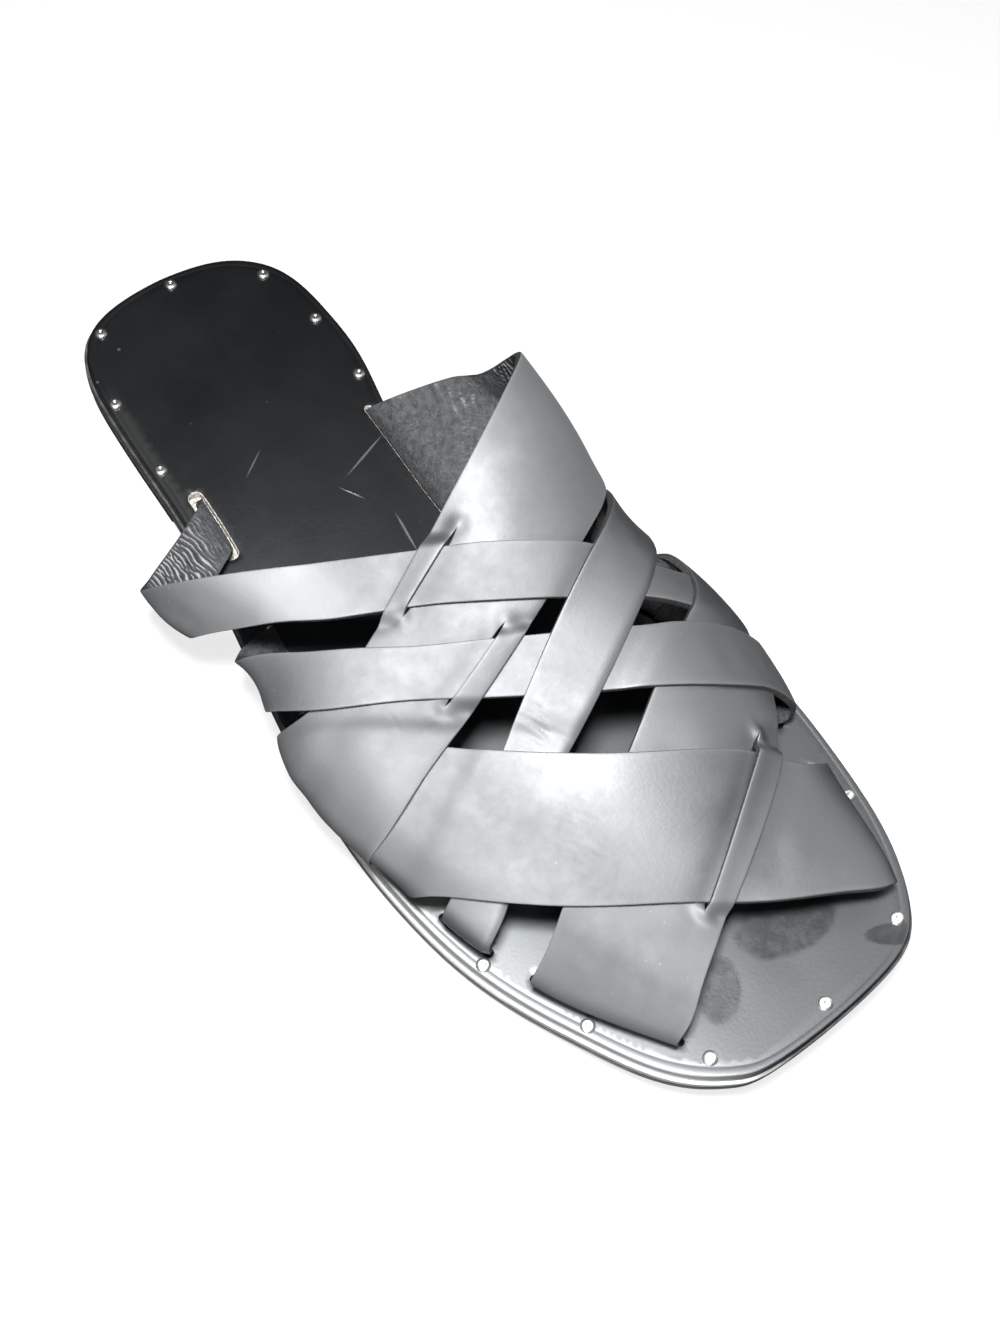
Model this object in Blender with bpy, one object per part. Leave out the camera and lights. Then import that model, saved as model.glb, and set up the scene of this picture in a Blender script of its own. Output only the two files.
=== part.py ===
"""Woven leather slide sandal, right foot.

+Y runs from the heel to the toe, +X to the little toe side, +Z up. The origin is on the floor, under the
middle of the heel. Lengths along the sole are measured from the back of the heel.
"""

import bmesh
import bpy
import numpy as np

MM = 0.001                 # the sizes below are in millimetres

# Main sizes
LENGTH = 260.0             # overall length of the sole
HEEL_SEAT = 35.0           # the frame's origin lies this far from the back of the heel
GAP = 0.3                  # space left between two layers that touch
OUTSOLE = 2.0              # thickness of the bottom layer
MIDSOLE = 2.0              # thickness of the middle layer
FOOTBED = 2.3              # thickness of the leather under the foot
HEEL_LIFT = 2.0            # thickness of the block under the heel
HEEL_END = 64.0            # front edge of the heel block, from the back
TOE_SPRING = 7.0           # rise of the toe above the floor
SPRING_START = 185.0       # where the toe begins to rise
FOOTBED_INSET = 0.9        # the footbed stops this far inside the sole's edge
EDGE_ROUND = 0.5           # bevel along the footbed's top edge

STRAP = 2.0                # thickness of the strap leather
WEAVE = 0.75               # a strap rises or dips this far where it crosses another
FADE = 4.0                 # length over which it does so
SLIT = 0.9                 # width of a slit cut in a strap
TUCK = 0.015               # part of the section that goes down into a slot
SLOT_PLAY = 0.55           # space each side of a strap in its slot

NAIL_HEAD = 1.7            # radius
NAIL_RISE = 0.8            # height of the domed head
NAIL_SHANK = 0.6           # radius
NAIL_SIDES = 10

# Plan of the sole: half widths each side of the centre line, inner (big toe) and outer side
SOLE_COLUMNS = ("along", "inner", "outer")
SOLE = (
    (0, 0, 0),
    (2, 16, 16.5),
    (6, 24, 24.7),
    (12, 29.5, 29.5),
    (20, 32.5, 32.3),
    (35, 33.5, 34.2),
    (50, 32.5, 35.2),
    (65, 29, 36),
    (80, 25.5, 37.5),
    (95, 24.5, 39.8),
    (110, 27.5, 42.6),
    (125, 35, 45.4),
    (140, 46, 48),
    (155, 55, 49.7),
    (170, 59.5, 50.2),
    (185, 60.5, 49.3),
    (200, 60, 47),
    (215, 58, 42.5),
    (230, 54.7, 36),
    (242, 50, 30),
    (251, 44, 23),
    (256, 38.5, 16.5),
    (259, 29, 8),
    (260, 11, -11),
)

# Cross sections of the last that the straps follow: distance from the centre line and height of each turn.
# The foot is where the straps enter the footbed, the bulge is the side of the foot, the crown its top.
LAST_COLUMNS = ("along", "in_foot", "in_bulge", "in_bulge_up", "in_crown", "in_crown_up",
                "out_crown", "out_crown_up", "out_bulge", "out_bulge_up", "out_foot")
LAST = (
    (60, -23, -38, 24, -38, 60, 20, 46, 55, 22, 29.3),
    (80, -22, -42, 25, -40, 59, 18, 45, 55.8, 21, 30.4),
    (100, -21, -45, 26, -38.5, 56, 18, 42, 55, 20, 33.2),
    (120, -24, -46.5, 26, -39, 50, 18, 38, 47.8, 22.5, 37),
    (140, -37, -48.5, 22, -37, 40, 20, 35, 51.5, 20, 43),
    (160, -48, -54, 19, -38, 34, 20, 31, 53.2, 18.5, 45),
    (180, -53.5, -56, 16, -38, 30, 17, 28, 47.8, 16.5, 45),
    (200, -51.3, -53, 14.5, -38, 25, 12, 26, 42, 16.5, 41),
    (220, -47.6, -48.1, 14, -35, 20.5, 6, 23, 34.5, 16, 32.6),
    (240, -43.2, -43, 16, -31, 19.5, 2, 20.5, 22.5, 17, 21.3),
    (256, -36, -35, 18, -25, 19.5, -4, 20, 12, 18, 11),
)
# Where each turn of the section lies across
TURNS = (-TUCK, 0.0, 0.13, 0.15, 0.17, 0.33, 0.62, 0.84, 0.86, 0.88, 1.0, 1.0 + TUCK)
BEND = 4.5                 # radius of the straps' bend at the side of the foot

# The straps: how far along the sole the rear and front edge lie, at parts of the way across from the inner
# foot (0) to the outer foot (1). The diagonals run from the inner side's back to the outer side's front.
STRAP_COLUMNS = ("across", "rear", "front")
STRAPS = {
    "rear_diagonal": (
        (0.00, 68, 113),
        (0.15, 83, 121),
        (0.23, 92, 131),
        (0.31, 101.3, 138),
        (0.40, 110, 145.3),
        (0.50, 120.3, 153.8),
        (0.60, 130.4, 161.4),
        (0.70, 137.8, 166.4),
        (0.80, 139, 170.7),
        (0.90, 136, 171.8),
        (1.00, 132, 169),
    ),
    "middle_diagonal": (
        (0.00, 116, 137),
        (0.15, 127, 145),
        (0.24, 135, 151),
        (0.40, 147.6, 165.4),
        (0.50, 159.2, 176.2),
        (0.60, 171.4, 184.8),
        (0.72, 181.8, 194),
        (0.86, 190.7, 202.6),
        (1.00, 190, 202),
    ),
    "front_diagonal": (
        (0.00, 140.4, 182),
        (0.15, 151, 188),
        (0.22, 161, 193.3),
        (0.30, 168.8, 204.2),
        (0.40, 177.2, 215),
        (0.50, 188, 223.8),
        (0.60, 197.2, 231),
        (0.72, 205.4, 237),
        (0.86, 213, 242),
        (1.00, 213, 242),
    ),
    "rear_crossing": (
        (0.00, 158, 174),
        (0.15, 159, 176),
        (0.28, 157.5, 169.6),
        (0.36, 149.8, 162.8),
        (0.45, 140.3, 154),
        (0.53, 129.8, 143.5),
        (0.60, 120.4, 134.2),
        (0.71, 108.3, 124.3),
        (0.77, 100.8, 118.5),
        (0.82, 94, 112.8),
        (0.86, 88.5, 106),
        (0.90, 83, 99),
        (1.00, 68, 84),
    ),
    "middle_crossing": (
        (0.00, 185, 199),
        (0.14, 182.3, 199.3),
        (0.24, 177.3, 194.3),
        (0.34, 171.7, 189.3),
        (0.41, 166.3, 183),
        (0.49, 157.6, 173.4),
        (0.55, 150, 165),
        (0.61, 142.8, 156.6),
        (0.66, 137, 151),
        (0.77, 127, 141.3),
        (0.85, 118.6, 133.3),
        (0.90, 113.5, 128.5),
        (1.00, 108, 124),
    ),
    "front_crossing": (
        (0.00, 212, 243),
        (0.14, 214, 245),
        (0.32, 209, 241.6),
        (0.40, 201.6, 237.8),
        (0.51, 188.5, 230.3),
        (0.60, 173.3, 221.5),
        (0.70, 157.5, 210.7),
        (0.79, 147, 196.8),
        (0.84, 144, 188),
        (0.88, 142.3, 183),
        (1.00, 141, 180),
    ),
}

# Slits that let a crossing strap change sides. Each runs lengthwise, across the foot from start to end, at a
# share of the strap's width from its rear edge. The strip is what it parts from the rest of the strap.
SLIT_COLUMNS = ("strap", "strip", "start", "end", "share_at_start", "share_at_end")
SLITS = (
    ("rear_diagonal", "rear_strip", 0.505, 0.62, 0.18, 0.155),
    ("rear_diagonal", "front_strip", 0.51, 0.64, 0.84, 0.81),
    ("front_diagonal", "front_strip", 0.33, 0.60, 0.76, 0.84),
)

# (over, under) at each crossing; a strip is named with its strap
WEAVE_ORDER = (
    ("rear_diagonal.rear_strip", "rear_crossing"),
    ("rear_crossing", "rear_diagonal"),
    ("middle_crossing", "rear_diagonal"),
    ("rear_diagonal.front_strip", "middle_crossing"),
    ("rear_diagonal", "front_crossing"),
    ("middle_diagonal", "rear_crossing"),
    ("middle_diagonal", "middle_crossing"),
    ("front_crossing", "middle_diagonal"),
    ("front_diagonal", "rear_crossing"),
    ("middle_crossing", "front_diagonal"),
    ("front_crossing", "front_diagonal"),
    ("front_diagonal.front_strip", "front_crossing"),
)

# Slots in the footbed: side, where each runs along the sole, and how many straps share it
SLOT_COLUMNS = ("side", "start", "end", "straps")
SLOTS = (
    ("inner", 67, 114, 1),
    ("inner", 115, 138, 1),
    ("inner", 139.2, 183, 2),
    ("inner", 184.2, 200, 1),
    ("inner", 211, 244, 1),
    ("outer", 67, 85, 1),
    ("outer", 107, 125, 1),
    ("outer", 131, 181, 2),
    ("outer", 189, 203, 1),
    ("outer", 212, 243, 1),
)

# Nails along the footbed's rim: distance from the centre line and along the sole
NAIL_COLUMNS = ("across", "along")
NAILS = (
    (32.3, 55),
    (31, 31),
    (22.2, 9),
    (-2, 4.3),
    (-25, 14.5),
    (-28.3, 35),
    (-27.2, 57),
    (-45.5, 145),
    (-56.3, 169),
    (-57, 195.5),
    (-51.6, 222.7),
    (-37.8, 251.2),
    (-10.6, 255.3),
    (17.4, 248.8),
    (33.4, 227.7),
    (43, 203.6),
)


def remove_everything():
    for obj in list(bpy.data.objects):
        bpy.data.objects.remove(obj, do_unlink=True)


def leather(name, colour, roughness, metallic=0.0):
    material = bpy.data.materials.new(name)
    material.use_nodes = True
    shader = material.node_tree.nodes["Principled BSDF"]
    shader.inputs["Base Color"].default_value = (*colour, 1.0)
    shader.inputs["Roughness"].default_value = roughness
    shader.inputs["Metallic"].default_value = metallic
    return material


def through(at, values):
    """A smooth curve through the values, one row of them for each place in at."""
    at = np.array(at, float)
    values = np.array(values, float)
    step = np.diff(at)
    count = len(at)
    system = np.eye(count)
    right = np.zeros_like(values)
    for i in range(1, count - 1):
        system[i, i - 1:i + 2] = step[i - 1], 2 * (step[i - 1] + step[i]), step[i]
        rise = (values[i + 1] - values[i]) / step[i]
        run_in = (values[i] - values[i - 1]) / step[i - 1]
        right[i] = 6 * (rise - run_in)
    bend = np.linalg.solve(system, right)

    def curve(x):
        x = min(max(x, at[0]), at[-1])
        i = min(max(int(np.searchsorted(at, x)) - 1, 0), count - 2)
        a = (at[i + 1] - x) / step[i]
        b = 1 - a
        cubic = (a ** 3 - a) * bend[i] + (b ** 3 - b) * bend[i + 1]
        return a * values[i] + b * values[i + 1] + cubic * step[i] ** 2 / 6

    return curve


def table_curve(table):
    return through([row[0] for row in table], [row[1:] for row in table])


def sole_angle(along):
    return np.arccos(1 - 2 * along / LENGTH)


sole_widths = through([sole_angle(row[0]) for row in SOLE], [row[1:] for row in SOLE])
last_section = table_curve(LAST)
strap_edges = {name: table_curve(table) for name, table in STRAPS.items()}


def ease(x):
    x = min(max(x, 0.0), 1.0)
    return x * x * (3 - 2 * x)


def sole_underside(along):
    """Height of the outsole's underside: over the heel block, down through the waist, up at the toe."""
    heel = (HEEL_LIFT + GAP) * (1 - ease((along - HEEL_END) / 60))
    toe = max(along - SPRING_START, 0) / (LENGTH - SPRING_START)
    return heel + TOE_SPRING * toe ** 2


def footbed_top(along):
    return sole_underside(along) + OUTSOLE + MIDSOLE + FOOTBED + 2 * GAP


def make_mesh(name, points, faces, material):
    mesh = bpy.data.meshes.new(name)
    mesh.from_pydata([tuple(MM * float(v) for v in p) for p in points], [], faces)
    mesh.validate()
    mesh.materials.append(material)
    mesh.shade_smooth()
    mesh.set_sharp_from_angle(angle=np.radians(40))
    return mesh


def place(name, mesh):
    obj = bpy.data.objects.new(name, mesh)
    bpy.context.scene.collection.objects.link(obj)
    return obj


def make_object(name, points, faces, material):
    """Points are (across, along, up) from the back of the heel."""
    obj = place(name, make_mesh(name, points, faces, material))
    obj.location.y = -MM * HEEL_SEAT
    return obj


def ladder(levels, stations):
    """A closed slab from levels of (inset, height function), each ring of side points joined to the next."""
    points = []
    for inset, height in levels:
        for station in stations:
            inner, outer = sole_widths(sole_angle(station))
            along = inset + station * (1 - 2 * inset / LENGTH)
            middle = (outer - inner) / 2
            half = max((outer + inner) / 2 - inset, 0.15)
            up = height(along)
            points.append((middle - half, along, up))
            points.append((middle + half, along, up))
    rows = len(stations)
    faces = []
    for level in (0, len(levels) - 1):
        for i in range(rows - 1):
            a = 2 * (level * rows + i)
            quad = (a, a + 2, a + 3, a + 1)
            faces.append(quad if level == 0 else quad[::-1])
    for level in range(len(levels) - 1):
        ring = [2 * i for i in range(rows)] + [2 * i + 1 for i in reversed(range(rows))]
        for here, there in zip(ring, ring[1:] + ring[:1]):
            low = 2 * rows * level
            high = low + 2 * rows
            faces.append((low + there, low + here, high + here, high + there))
    return points, faces


def whole_sole_stations(count=46):
    return [LENGTH * (1 - np.cos(np.pi * i / count)) / 2 for i in range(count + 1)]


def raised(thickness):
    return lambda along: sole_underside(along) + thickness


def rising(at, values):
    """A smooth curve through the values that never turns back between them."""
    at = np.array(at, float)
    values = np.array(values, float)
    slope = np.diff(values) / np.diff(at)
    bend = 2 * slope[:-1] * slope[1:] / (slope[:-1] + slope[1:])
    slopes = np.concatenate([slope[:1], bend, slope[-1:]])

    def curve(x):
        x = min(max(x, at[0]), at[-1])
        i = min(max(int(np.searchsorted(at, x)) - 1, 0), len(at) - 2)
        step = at[i + 1] - at[i]
        t = (x - at[i]) / step
        start = (1 + 2 * t) * (1 - t) ** 2 * values[i] + t * (1 - t) ** 2 * step * slopes[i]
        end = t * t * (3 - 2 * t) * values[i + 1] + t * t * (t - 1) * step * slopes[i + 1]
        return start + end

    return curve


def bend(before, corner, after):
    """Three turns round a bend whose outermost point is the corner."""
    before, corner, after = (np.array(p) for p in (before, corner, after))
    way_in = (corner - before) / np.hypot(*(corner - before))
    way_out = (after - corner) / np.hypot(*(after - corner))
    turn = np.arctan2(way_in[0] * way_out[1] - way_in[1] * way_out[0], way_in @ way_out)
    radius = min(BEND, 0.6 * np.hypot(*(corner - before)), 0.6 * np.hypot(*(after - corner)))
    inward = (way_out - way_in) / np.hypot(*(way_out - way_in))
    turns = []
    for angle in (-0.4 * turn, 0.0, 0.4 * turn):
        spin = np.array(((np.cos(angle), -np.sin(angle)), (np.sin(angle), np.cos(angle))))
        turns.append(corner + radius * (inward - spin @ inward))
    return turns


def section_points(along):
    """The turns of the last's cross section, from the inner slot round to the outer slot."""
    (in_foot, in_bulge, in_bulge_up, in_crown, in_crown_up,
     out_crown, out_crown_up, out_bulge, out_bulge_up, out_foot) = last_section(along)
    top = footbed_top(along)
    low = 0.45 - FOOTBED
    inner = (in_foot, top + 0.4)
    outer = (out_foot, top + 0.4)
    inner_crown = (in_crown, in_crown_up)
    outer_crown = (out_crown, out_crown_up)
    return [
        (in_foot, top + low),
        inner,
        *bend(inner, (in_bulge, in_bulge_up), inner_crown),
        inner_crown,
        outer_crown,
        *bend(outer_crown, (out_bulge, out_bulge_up), outer),
        outer,
        (out_foot, top + low),
    ]


def last_point(across, along):
    """A point of the last's surface. Across is 0 at the inner slot and 1 at the outer slot."""
    turns = np.array(section_points(along))
    lengths = np.cumsum([0.0] + [np.hypot(*(b - a)) for a, b in zip(turns, turns[1:])])
    girth = rising(TURNS, lengths)(across)
    x, z = through(lengths, turns)(girth)
    return np.array((x, along, z))


def last_normal(across, along):
    forward = last_point(across, along + 0.5) - last_point(across, along - 0.5)
    sideways = last_point(across + 0.002, along) - last_point(across - 0.002, along)
    normal = np.cross(sideways, forward)
    return normal / np.linalg.norm(normal)


def slits_of(strap):
    return [row[1:] for row in SLITS if row[0] == strap]


def slit_share(slit, across):
    _, start, end, share_at_start, share_at_end = slit
    part = min(max((across - start) / (end - start), 0.0), 1.0)
    return share_at_start + part * (share_at_end - share_at_start)


def slit_open(slit, across):
    """1 along the slit, 0 past its ends."""
    _, start, end, _, _ = slit
    return ease((across - start) / 0.012) * ease((end - across) / 0.012)


def lane_edges(lane, across):
    """Rear and front edge of a strap between its slits, or of a strip, and 1 where that strip is cut free."""
    strap, _, strip = lane.partition(".")
    rear, front = strap_edges[strap](across)
    whole = 1.0
    for slit in slits_of(strap):
        line = strap_edges[strap](across) @ (1 - slit_share(slit, across), slit_share(slit, across))
        is_open = slit_open(slit, across)
        if strip == slit[0]:
            whole = is_open
            rear, front = (rear, line) if strip == "rear_strip" else (line, front)
        elif not strip and slit[0] == "rear_strip":
            rear = rear + is_open * (line - rear)
        elif not strip:
            front = front + is_open * (line - front)
    return rear, front, whole


def cover(lane, across, along):
    """1 on the lane, fading to 0 beside it."""
    rear, front, whole = lane_edges(lane, across)
    return whole * ease(1 + (along - rear) / FADE) * ease(1 + (front - along) / FADE)


def lane_lift(lane, across, along):
    total = 0.0
    for over, under in WEAVE_ORDER:
        if lane == over:
            total += cover(under, across, along)
        elif lane == under:
            total -= cover(over, across, along)
    return min(max(total, -1.0), 1.0)


def weave_lift(strap, share, across, along):
    """How far the weave moves the strap off the last, at a share of its width from the rear edge."""
    rise = lane_lift(strap, across, along)
    for slit in slits_of(strap):
        beyond = share - slit_share(slit, across)
        if (beyond < 0) == (slit[0] == "rear_strip"):
            rise += slit_open(slit, across) * (lane_lift(strap + "." + slit[0], across, along) - rise)
    return WEAVE * rise


def strap_stations(strap, count=34):
    """Places across the foot where the strap gets a row of points: closer at bends, one at each slit tip."""
    samples = np.linspace(0, 1, 161)
    middle = [last_point(across, np.mean(strap_edges[strap](across))) for across in samples]
    legs = np.diff(middle, axis=0)
    lengths = np.linalg.norm(legs, axis=1)
    ways = legs / lengths[:, None]
    turning = [0.0] + [np.linalg.norm(b - a) for a, b in zip(ways, ways[1:])]
    need = np.cumsum([0.0] + [size / 11 + turn / 0.3 for size, turn in zip(lengths, turning)])
    places = list(np.interp(np.linspace(0, need[-1], count), need, samples))
    for _, start, end, _, _ in slits_of(strap):
        for tip in (start, end):
            places = [p for p in places if abs(p - tip) > 0.012] + [tip]
    return [-TUCK] + sorted(places) + [1.0 + TUCK]


def strap_shares(strap, across):
    """Shares of the width that get a lengthwise line: the edges, both lips of each slit, and some between."""
    rear, front = strap_edges[strap](across)
    lip = SLIT / 2 / (front - rear)
    lips = {slit[0]: slit_share(slit, across) for slit in slits_of(strap)}
    shares = [0.0]
    if "rear_strip" in lips:
        shares += [lips["rear_strip"] - lip, lips["rear_strip"] + lip]
    if "front_strip" in lips:
        shares.append((shares[-1] + lips["front_strip"]) / 2)
        shares += [lips["front_strip"] - lip, lips["front_strip"] + lip]
    elif STRAPS[strap][5][2] - STRAPS[strap][5][1] > 25:
        shares += [0.33, 0.67]
    else:
        shares += [0.5]
    return shares + [1.0]


def slit_columns(strap):
    """Which column of cells each slit of the strap runs in."""
    names = [slit[0] for slit in slits_of(strap)]
    columns = {}
    if "rear_strip" in names:
        columns["rear_strip"] = 1
    if "front_strip" in names:
        columns["front_strip"] = 4 if "rear_strip" in names else 2
    return columns


def make_strap(strap, material):
    """The strap as one sheet of cells with real thickness, and with its slits left open."""
    stations = strap_stations(strap)
    rows = []
    for across in stations:
        rear, front = strap_edges[strap](across)
        row = []
        for share in strap_shares(strap, across):
            along = rear + share * (front - rear)
            place = last_point(across, along)
            normal = last_normal(min(max(across, 0.0), 1.0), along)
            rise = weave_lift(strap, share, across, along)
            row.append((place + normal * (rise + STRAP / 2), place + normal * (rise - STRAP / 2)))
        rows.append(row)
    width = len(rows[0])
    points = [point for row in rows for pair in row for point in pair]

    gaps = set()
    for slit in slits_of(strap):
        column = slit_columns(strap)[slit[0]]
        for i in range(len(stations) - 1):
            if slit[1] - 1e-6 < stations[i] and stations[i + 1] < slit[2] + 1e-6:
                gaps.add((i, column))
    cells = {(i, j) for i in range(len(rows) - 1) for j in range(width - 1)} - gaps

    def top(i, j):
        return 2 * (i * width + j)

    faces = []
    for i, j in sorted(cells):
        faces.append((top(i, j), top(i + 1, j), top(i + 1, j + 1), top(i, j + 1)))
        faces.append((top(i, j) + 1, top(i, j + 1) + 1, top(i + 1, j + 1) + 1, top(i + 1, j) + 1))
        sides = (
            ((i, j - 1), top(i, j), top(i + 1, j)),
            ((i, j + 1), top(i + 1, j + 1), top(i, j + 1)),
            ((i - 1, j), top(i, j + 1), top(i, j)),
            ((i + 1, j), top(i + 1, j), top(i + 1, j + 1)),
        )
        for neighbour, a, b in sides:
            if neighbour not in cells:
                faces.append((b, a, a + 1, b + 1))
    return make_object(strap, points, faces, material)


def as_cutter(obj):
    obj.hide_render = True
    obj.display_type = "WIRE"


def combine(obj, cutter, operation):
    modifier = obj.modifiers.new(operation.title() + " " + cutter.name, "BOOLEAN")
    modifier.operation = operation
    modifier.solver = "EXACT"
    modifier.object = cutter
    as_cutter(cutter)


def join_straps(straps):
    """Joins the straps where they cross into one body, and drops the slivers of air shut in between them."""
    upper = straps[0]
    upper.name = "upper"
    for strap in straps[1:]:
        combine(upper, strap, "UNION")
    bpy.context.view_layer.update()
    evaluated = upper.evaluated_get(bpy.context.evaluated_depsgraph_get())
    joined = bmesh.new()
    joined.from_mesh(evaluated.data)
    upper.modifiers.clear()
    for strap in straps[1:]:
        bpy.data.objects.remove(strap)
    shells = []
    left = set(joined.verts)
    while left:
        shell = {left.pop()}
        front = list(shell)
        while front:
            vert = front.pop()
            reached = {edge.other_vert(vert) for edge in vert.link_edges} - shell
            shell |= reached
            front.extend(reached)
        left -= shell
        shells.append(shell)
    shells.sort(key=len)
    bmesh.ops.delete(joined, geom=[vert for shell in shells[:-1] for vert in shell], context="VERTS")
    joined.to_mesh(upper.data)
    joined.free()


def make_slot_cutter(number, side, start, end, straps, material):
    """An upright slice along the straps' foot, wide enough for the straps that go down there."""
    column = LAST_COLUMNS.index("in_foot" if side == "inner" else "out_foot") - 1
    half = STRAP / 2 + SLOT_PLAY + (WEAVE if straps > 1 else 0.0)
    count = max(int((end - start) / 6), 2)
    points = []
    for i in range(count + 1):
        along = start + (end - start) * i / count
        middle = last_section(along)[column]
        slant = last_section(along + 0.5)[column] - last_section(along - 0.5)[column]
        square = np.array((1, -slant)) / np.hypot(1, slant)
        top = footbed_top(along)
        for side_way, z in ((-half, 2.0), (half, 2.0), (half, -FOOTBED - 0.15), (-half, -FOOTBED - 0.15)):
            x, y = np.array((middle, along)) + side_way * square
            points.append((x, y, top + z))
    faces = [(0, 3, 2, 1), tuple(4 * count + k for k in range(4))]
    for i in range(count):
        for k in range(4):
            a = 4 * i + k
            b = 4 * i + (k + 1) % 4
            faces.append((a, b, b + 4, a + 4))
    return make_object("slot_cutter_%02d" % number, points, faces, material)


def turned_mesh(name, profile, material):
    """A solid turned about the Z axis, from (radius, height) pairs that start and end on it."""
    points = [(0, 0, profile[0][1])]
    for radius, height in profile[1:-1]:
        for k in range(NAIL_SIDES):
            turn = 2 * np.pi * k / NAIL_SIDES
            points.append((radius * np.cos(turn), radius * np.sin(turn), height))
    points.append((0, 0, profile[-1][1]))
    rings = len(profile) - 2
    faces = []
    for k in range(NAIL_SIDES):
        n = (k + 1) % NAIL_SIDES
        faces.append((0, 1 + n, 1 + k))
        for ring in range(rings - 1):
            a = 1 + ring * NAIL_SIDES
            faces.append((a + k, a + n, a + NAIL_SIDES + n, a + NAIL_SIDES + k))
        a = 1 + (rings - 1) * NAIL_SIDES
        faces.append((a + k, a + n, len(points) - 1))
    return make_mesh(name, points, faces, material)


def nail_mesh(material):
    """A dome-headed nail, with the footbed's top at height 0 and its point just above the midsole."""
    seat = GAP / 3
    point = -FOOTBED + GAP / 3
    return turned_mesh("nail", (
        (0, point),
        (NAIL_SHANK, point),
        (NAIL_SHANK, seat),
        (NAIL_HEAD, seat),
        (0.8 * NAIL_HEAD, seat + 0.6 * NAIL_RISE),
        (0.45 * NAIL_HEAD, seat + 0.95 * NAIL_RISE),
        (0, seat + NAIL_RISE),
    ), material)


def hole_mesh(material):
    radius = NAIL_SHANK + GAP
    low = -FOOTBED - 1
    return turned_mesh("nail_hole", ((0, low), (radius, low), (radius, 1), (0, 1)), material)


def stand_on_footbed(name, mesh, x, y):
    """Sets a nail or its hole square to the footbed, which slopes up at the toe."""
    obj = place(name, mesh)
    obj.location = (MM * x, MM * (y - HEEL_SEAT), MM * footbed_top(y))
    obj.rotation_euler.x = np.arctan(footbed_top(y + 0.5) - footbed_top(y - 0.5))
    return obj


def main():
    remove_everything()
    black_leather = leather("strap_leather", (0.045, 0.047, 0.052), 0.42)
    footbed_leather = leather("footbed_leather", (0.018, 0.019, 0.022), 0.45)
    midsole_leather = leather("midsole_leather", (0.022, 0.022, 0.024), 0.6)
    sole_rubber = leather("sole_rubber", (0.012, 0.012, 0.013), 0.7)
    nail_metal = leather("nail_metal", (0.78, 0.78, 0.76), 0.25, 1.0)
    guide = leather("guide", (0.8, 0.1, 0.1), 0.5)

    stations = whole_sole_stations()
    make_object("outsole", *ladder([
        (0.4, raised(0)),
        (0.0, raised(0.5)),
        (0.0, raised(OUTSOLE)),
    ], stations), sole_rubber)
    low = OUTSOLE + GAP
    make_object("midsole", *ladder([
        (0.15, raised(low)),
        (0.15, raised(low + MIDSOLE)),
    ], stations), midsole_leather)
    low += MIDSOLE + GAP
    footbed = make_object("footbed", *ladder([
        (FOOTBED_INSET, raised(low)),
        (FOOTBED_INSET, raised(low + FOOTBED - EDGE_ROUND)),
        (FOOTBED_INSET + EDGE_ROUND, raised(low + FOOTBED)),
    ], stations), footbed_leather)

    heel_stations = [s for s in stations if s < HEEL_END - 3] + [HEEL_END]
    make_object("heel_lift", *ladder([
        (0.5, lambda along: 0.0),
        (0.1, lambda along: 0.4),
        (0.1, lambda along: min(HEEL_LIFT, sole_underside(along) - GAP)),
    ], heel_stations), sole_rubber)

    for number, (side, start, end, straps) in enumerate(SLOTS, 1):
        cutter = make_slot_cutter(number, side, start, end, straps, guide)
        combine(footbed, cutter, "DIFFERENCE")

    join_straps([make_strap(name, black_leather) for name in STRAPS])

    nail = nail_mesh(nail_metal)
    hole = hole_mesh(guide)
    for number, (x, y) in enumerate(NAILS, 1):
        stand_on_footbed("nail_%02d" % number, nail, x, y)
        combine(footbed, stand_on_footbed("hole_cutter_%02d" % number, hole, x, y), "DIFFERENCE")


main()
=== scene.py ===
import math
import bmesh
import bpy
import numpy as np
from mathutils import Matrix, Vector
from mathutils.geometry import delaunay_2d_cdt


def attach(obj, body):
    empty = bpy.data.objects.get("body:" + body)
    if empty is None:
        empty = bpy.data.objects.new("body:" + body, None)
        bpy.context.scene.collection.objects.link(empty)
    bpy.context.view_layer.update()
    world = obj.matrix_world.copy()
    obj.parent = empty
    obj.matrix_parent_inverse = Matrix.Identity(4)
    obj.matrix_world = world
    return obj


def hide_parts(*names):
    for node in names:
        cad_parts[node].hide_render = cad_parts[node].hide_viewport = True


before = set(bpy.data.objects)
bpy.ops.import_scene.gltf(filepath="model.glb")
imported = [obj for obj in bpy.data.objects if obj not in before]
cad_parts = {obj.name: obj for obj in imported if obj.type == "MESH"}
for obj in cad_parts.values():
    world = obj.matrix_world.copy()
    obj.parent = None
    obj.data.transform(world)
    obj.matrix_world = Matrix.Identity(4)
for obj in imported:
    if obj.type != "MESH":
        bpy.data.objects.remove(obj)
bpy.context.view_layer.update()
mm = 0.001  # every size below is in millimetres, measured along the sole from the back of the heel
print("frame loaded:", len(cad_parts), "nodes")

# camera
cameraSettings = {
    "place": (0.1174, 0.2197, 0.3116),   # metres, above and outside the toe
    "target": (0, 0.117, 0.02),
    "roll": 12.46,
    "lens": 38.4,
}


def addObject(name, data):
    made = bpy.data.objects.new(name, data)
    bpy.context.scene.collection.objects.link(made)
    return made


def aimed(place, target, roll=0.0):
    # the matrix of something at place that looks at target
    look = (Vector(target) - Vector(place)).to_track_quat("-Z", "Y").to_matrix()
    turned = look @ Matrix.Rotation(math.radians(roll), 3, "Z")
    return Matrix.Translation(place) @ turned.to_4x4()


def addCamera(view):
    lensData = bpy.data.cameras.new("camera")
    lensData.lens = view["lens"]
    lensData.clip_start = 0.01
    cameraObject = addObject("camera", lensData)
    cameraObject.matrix_world = aimed(view["place"], view["target"], view["roll"])
    bpy.context.scene.camera = cameraObject


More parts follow.
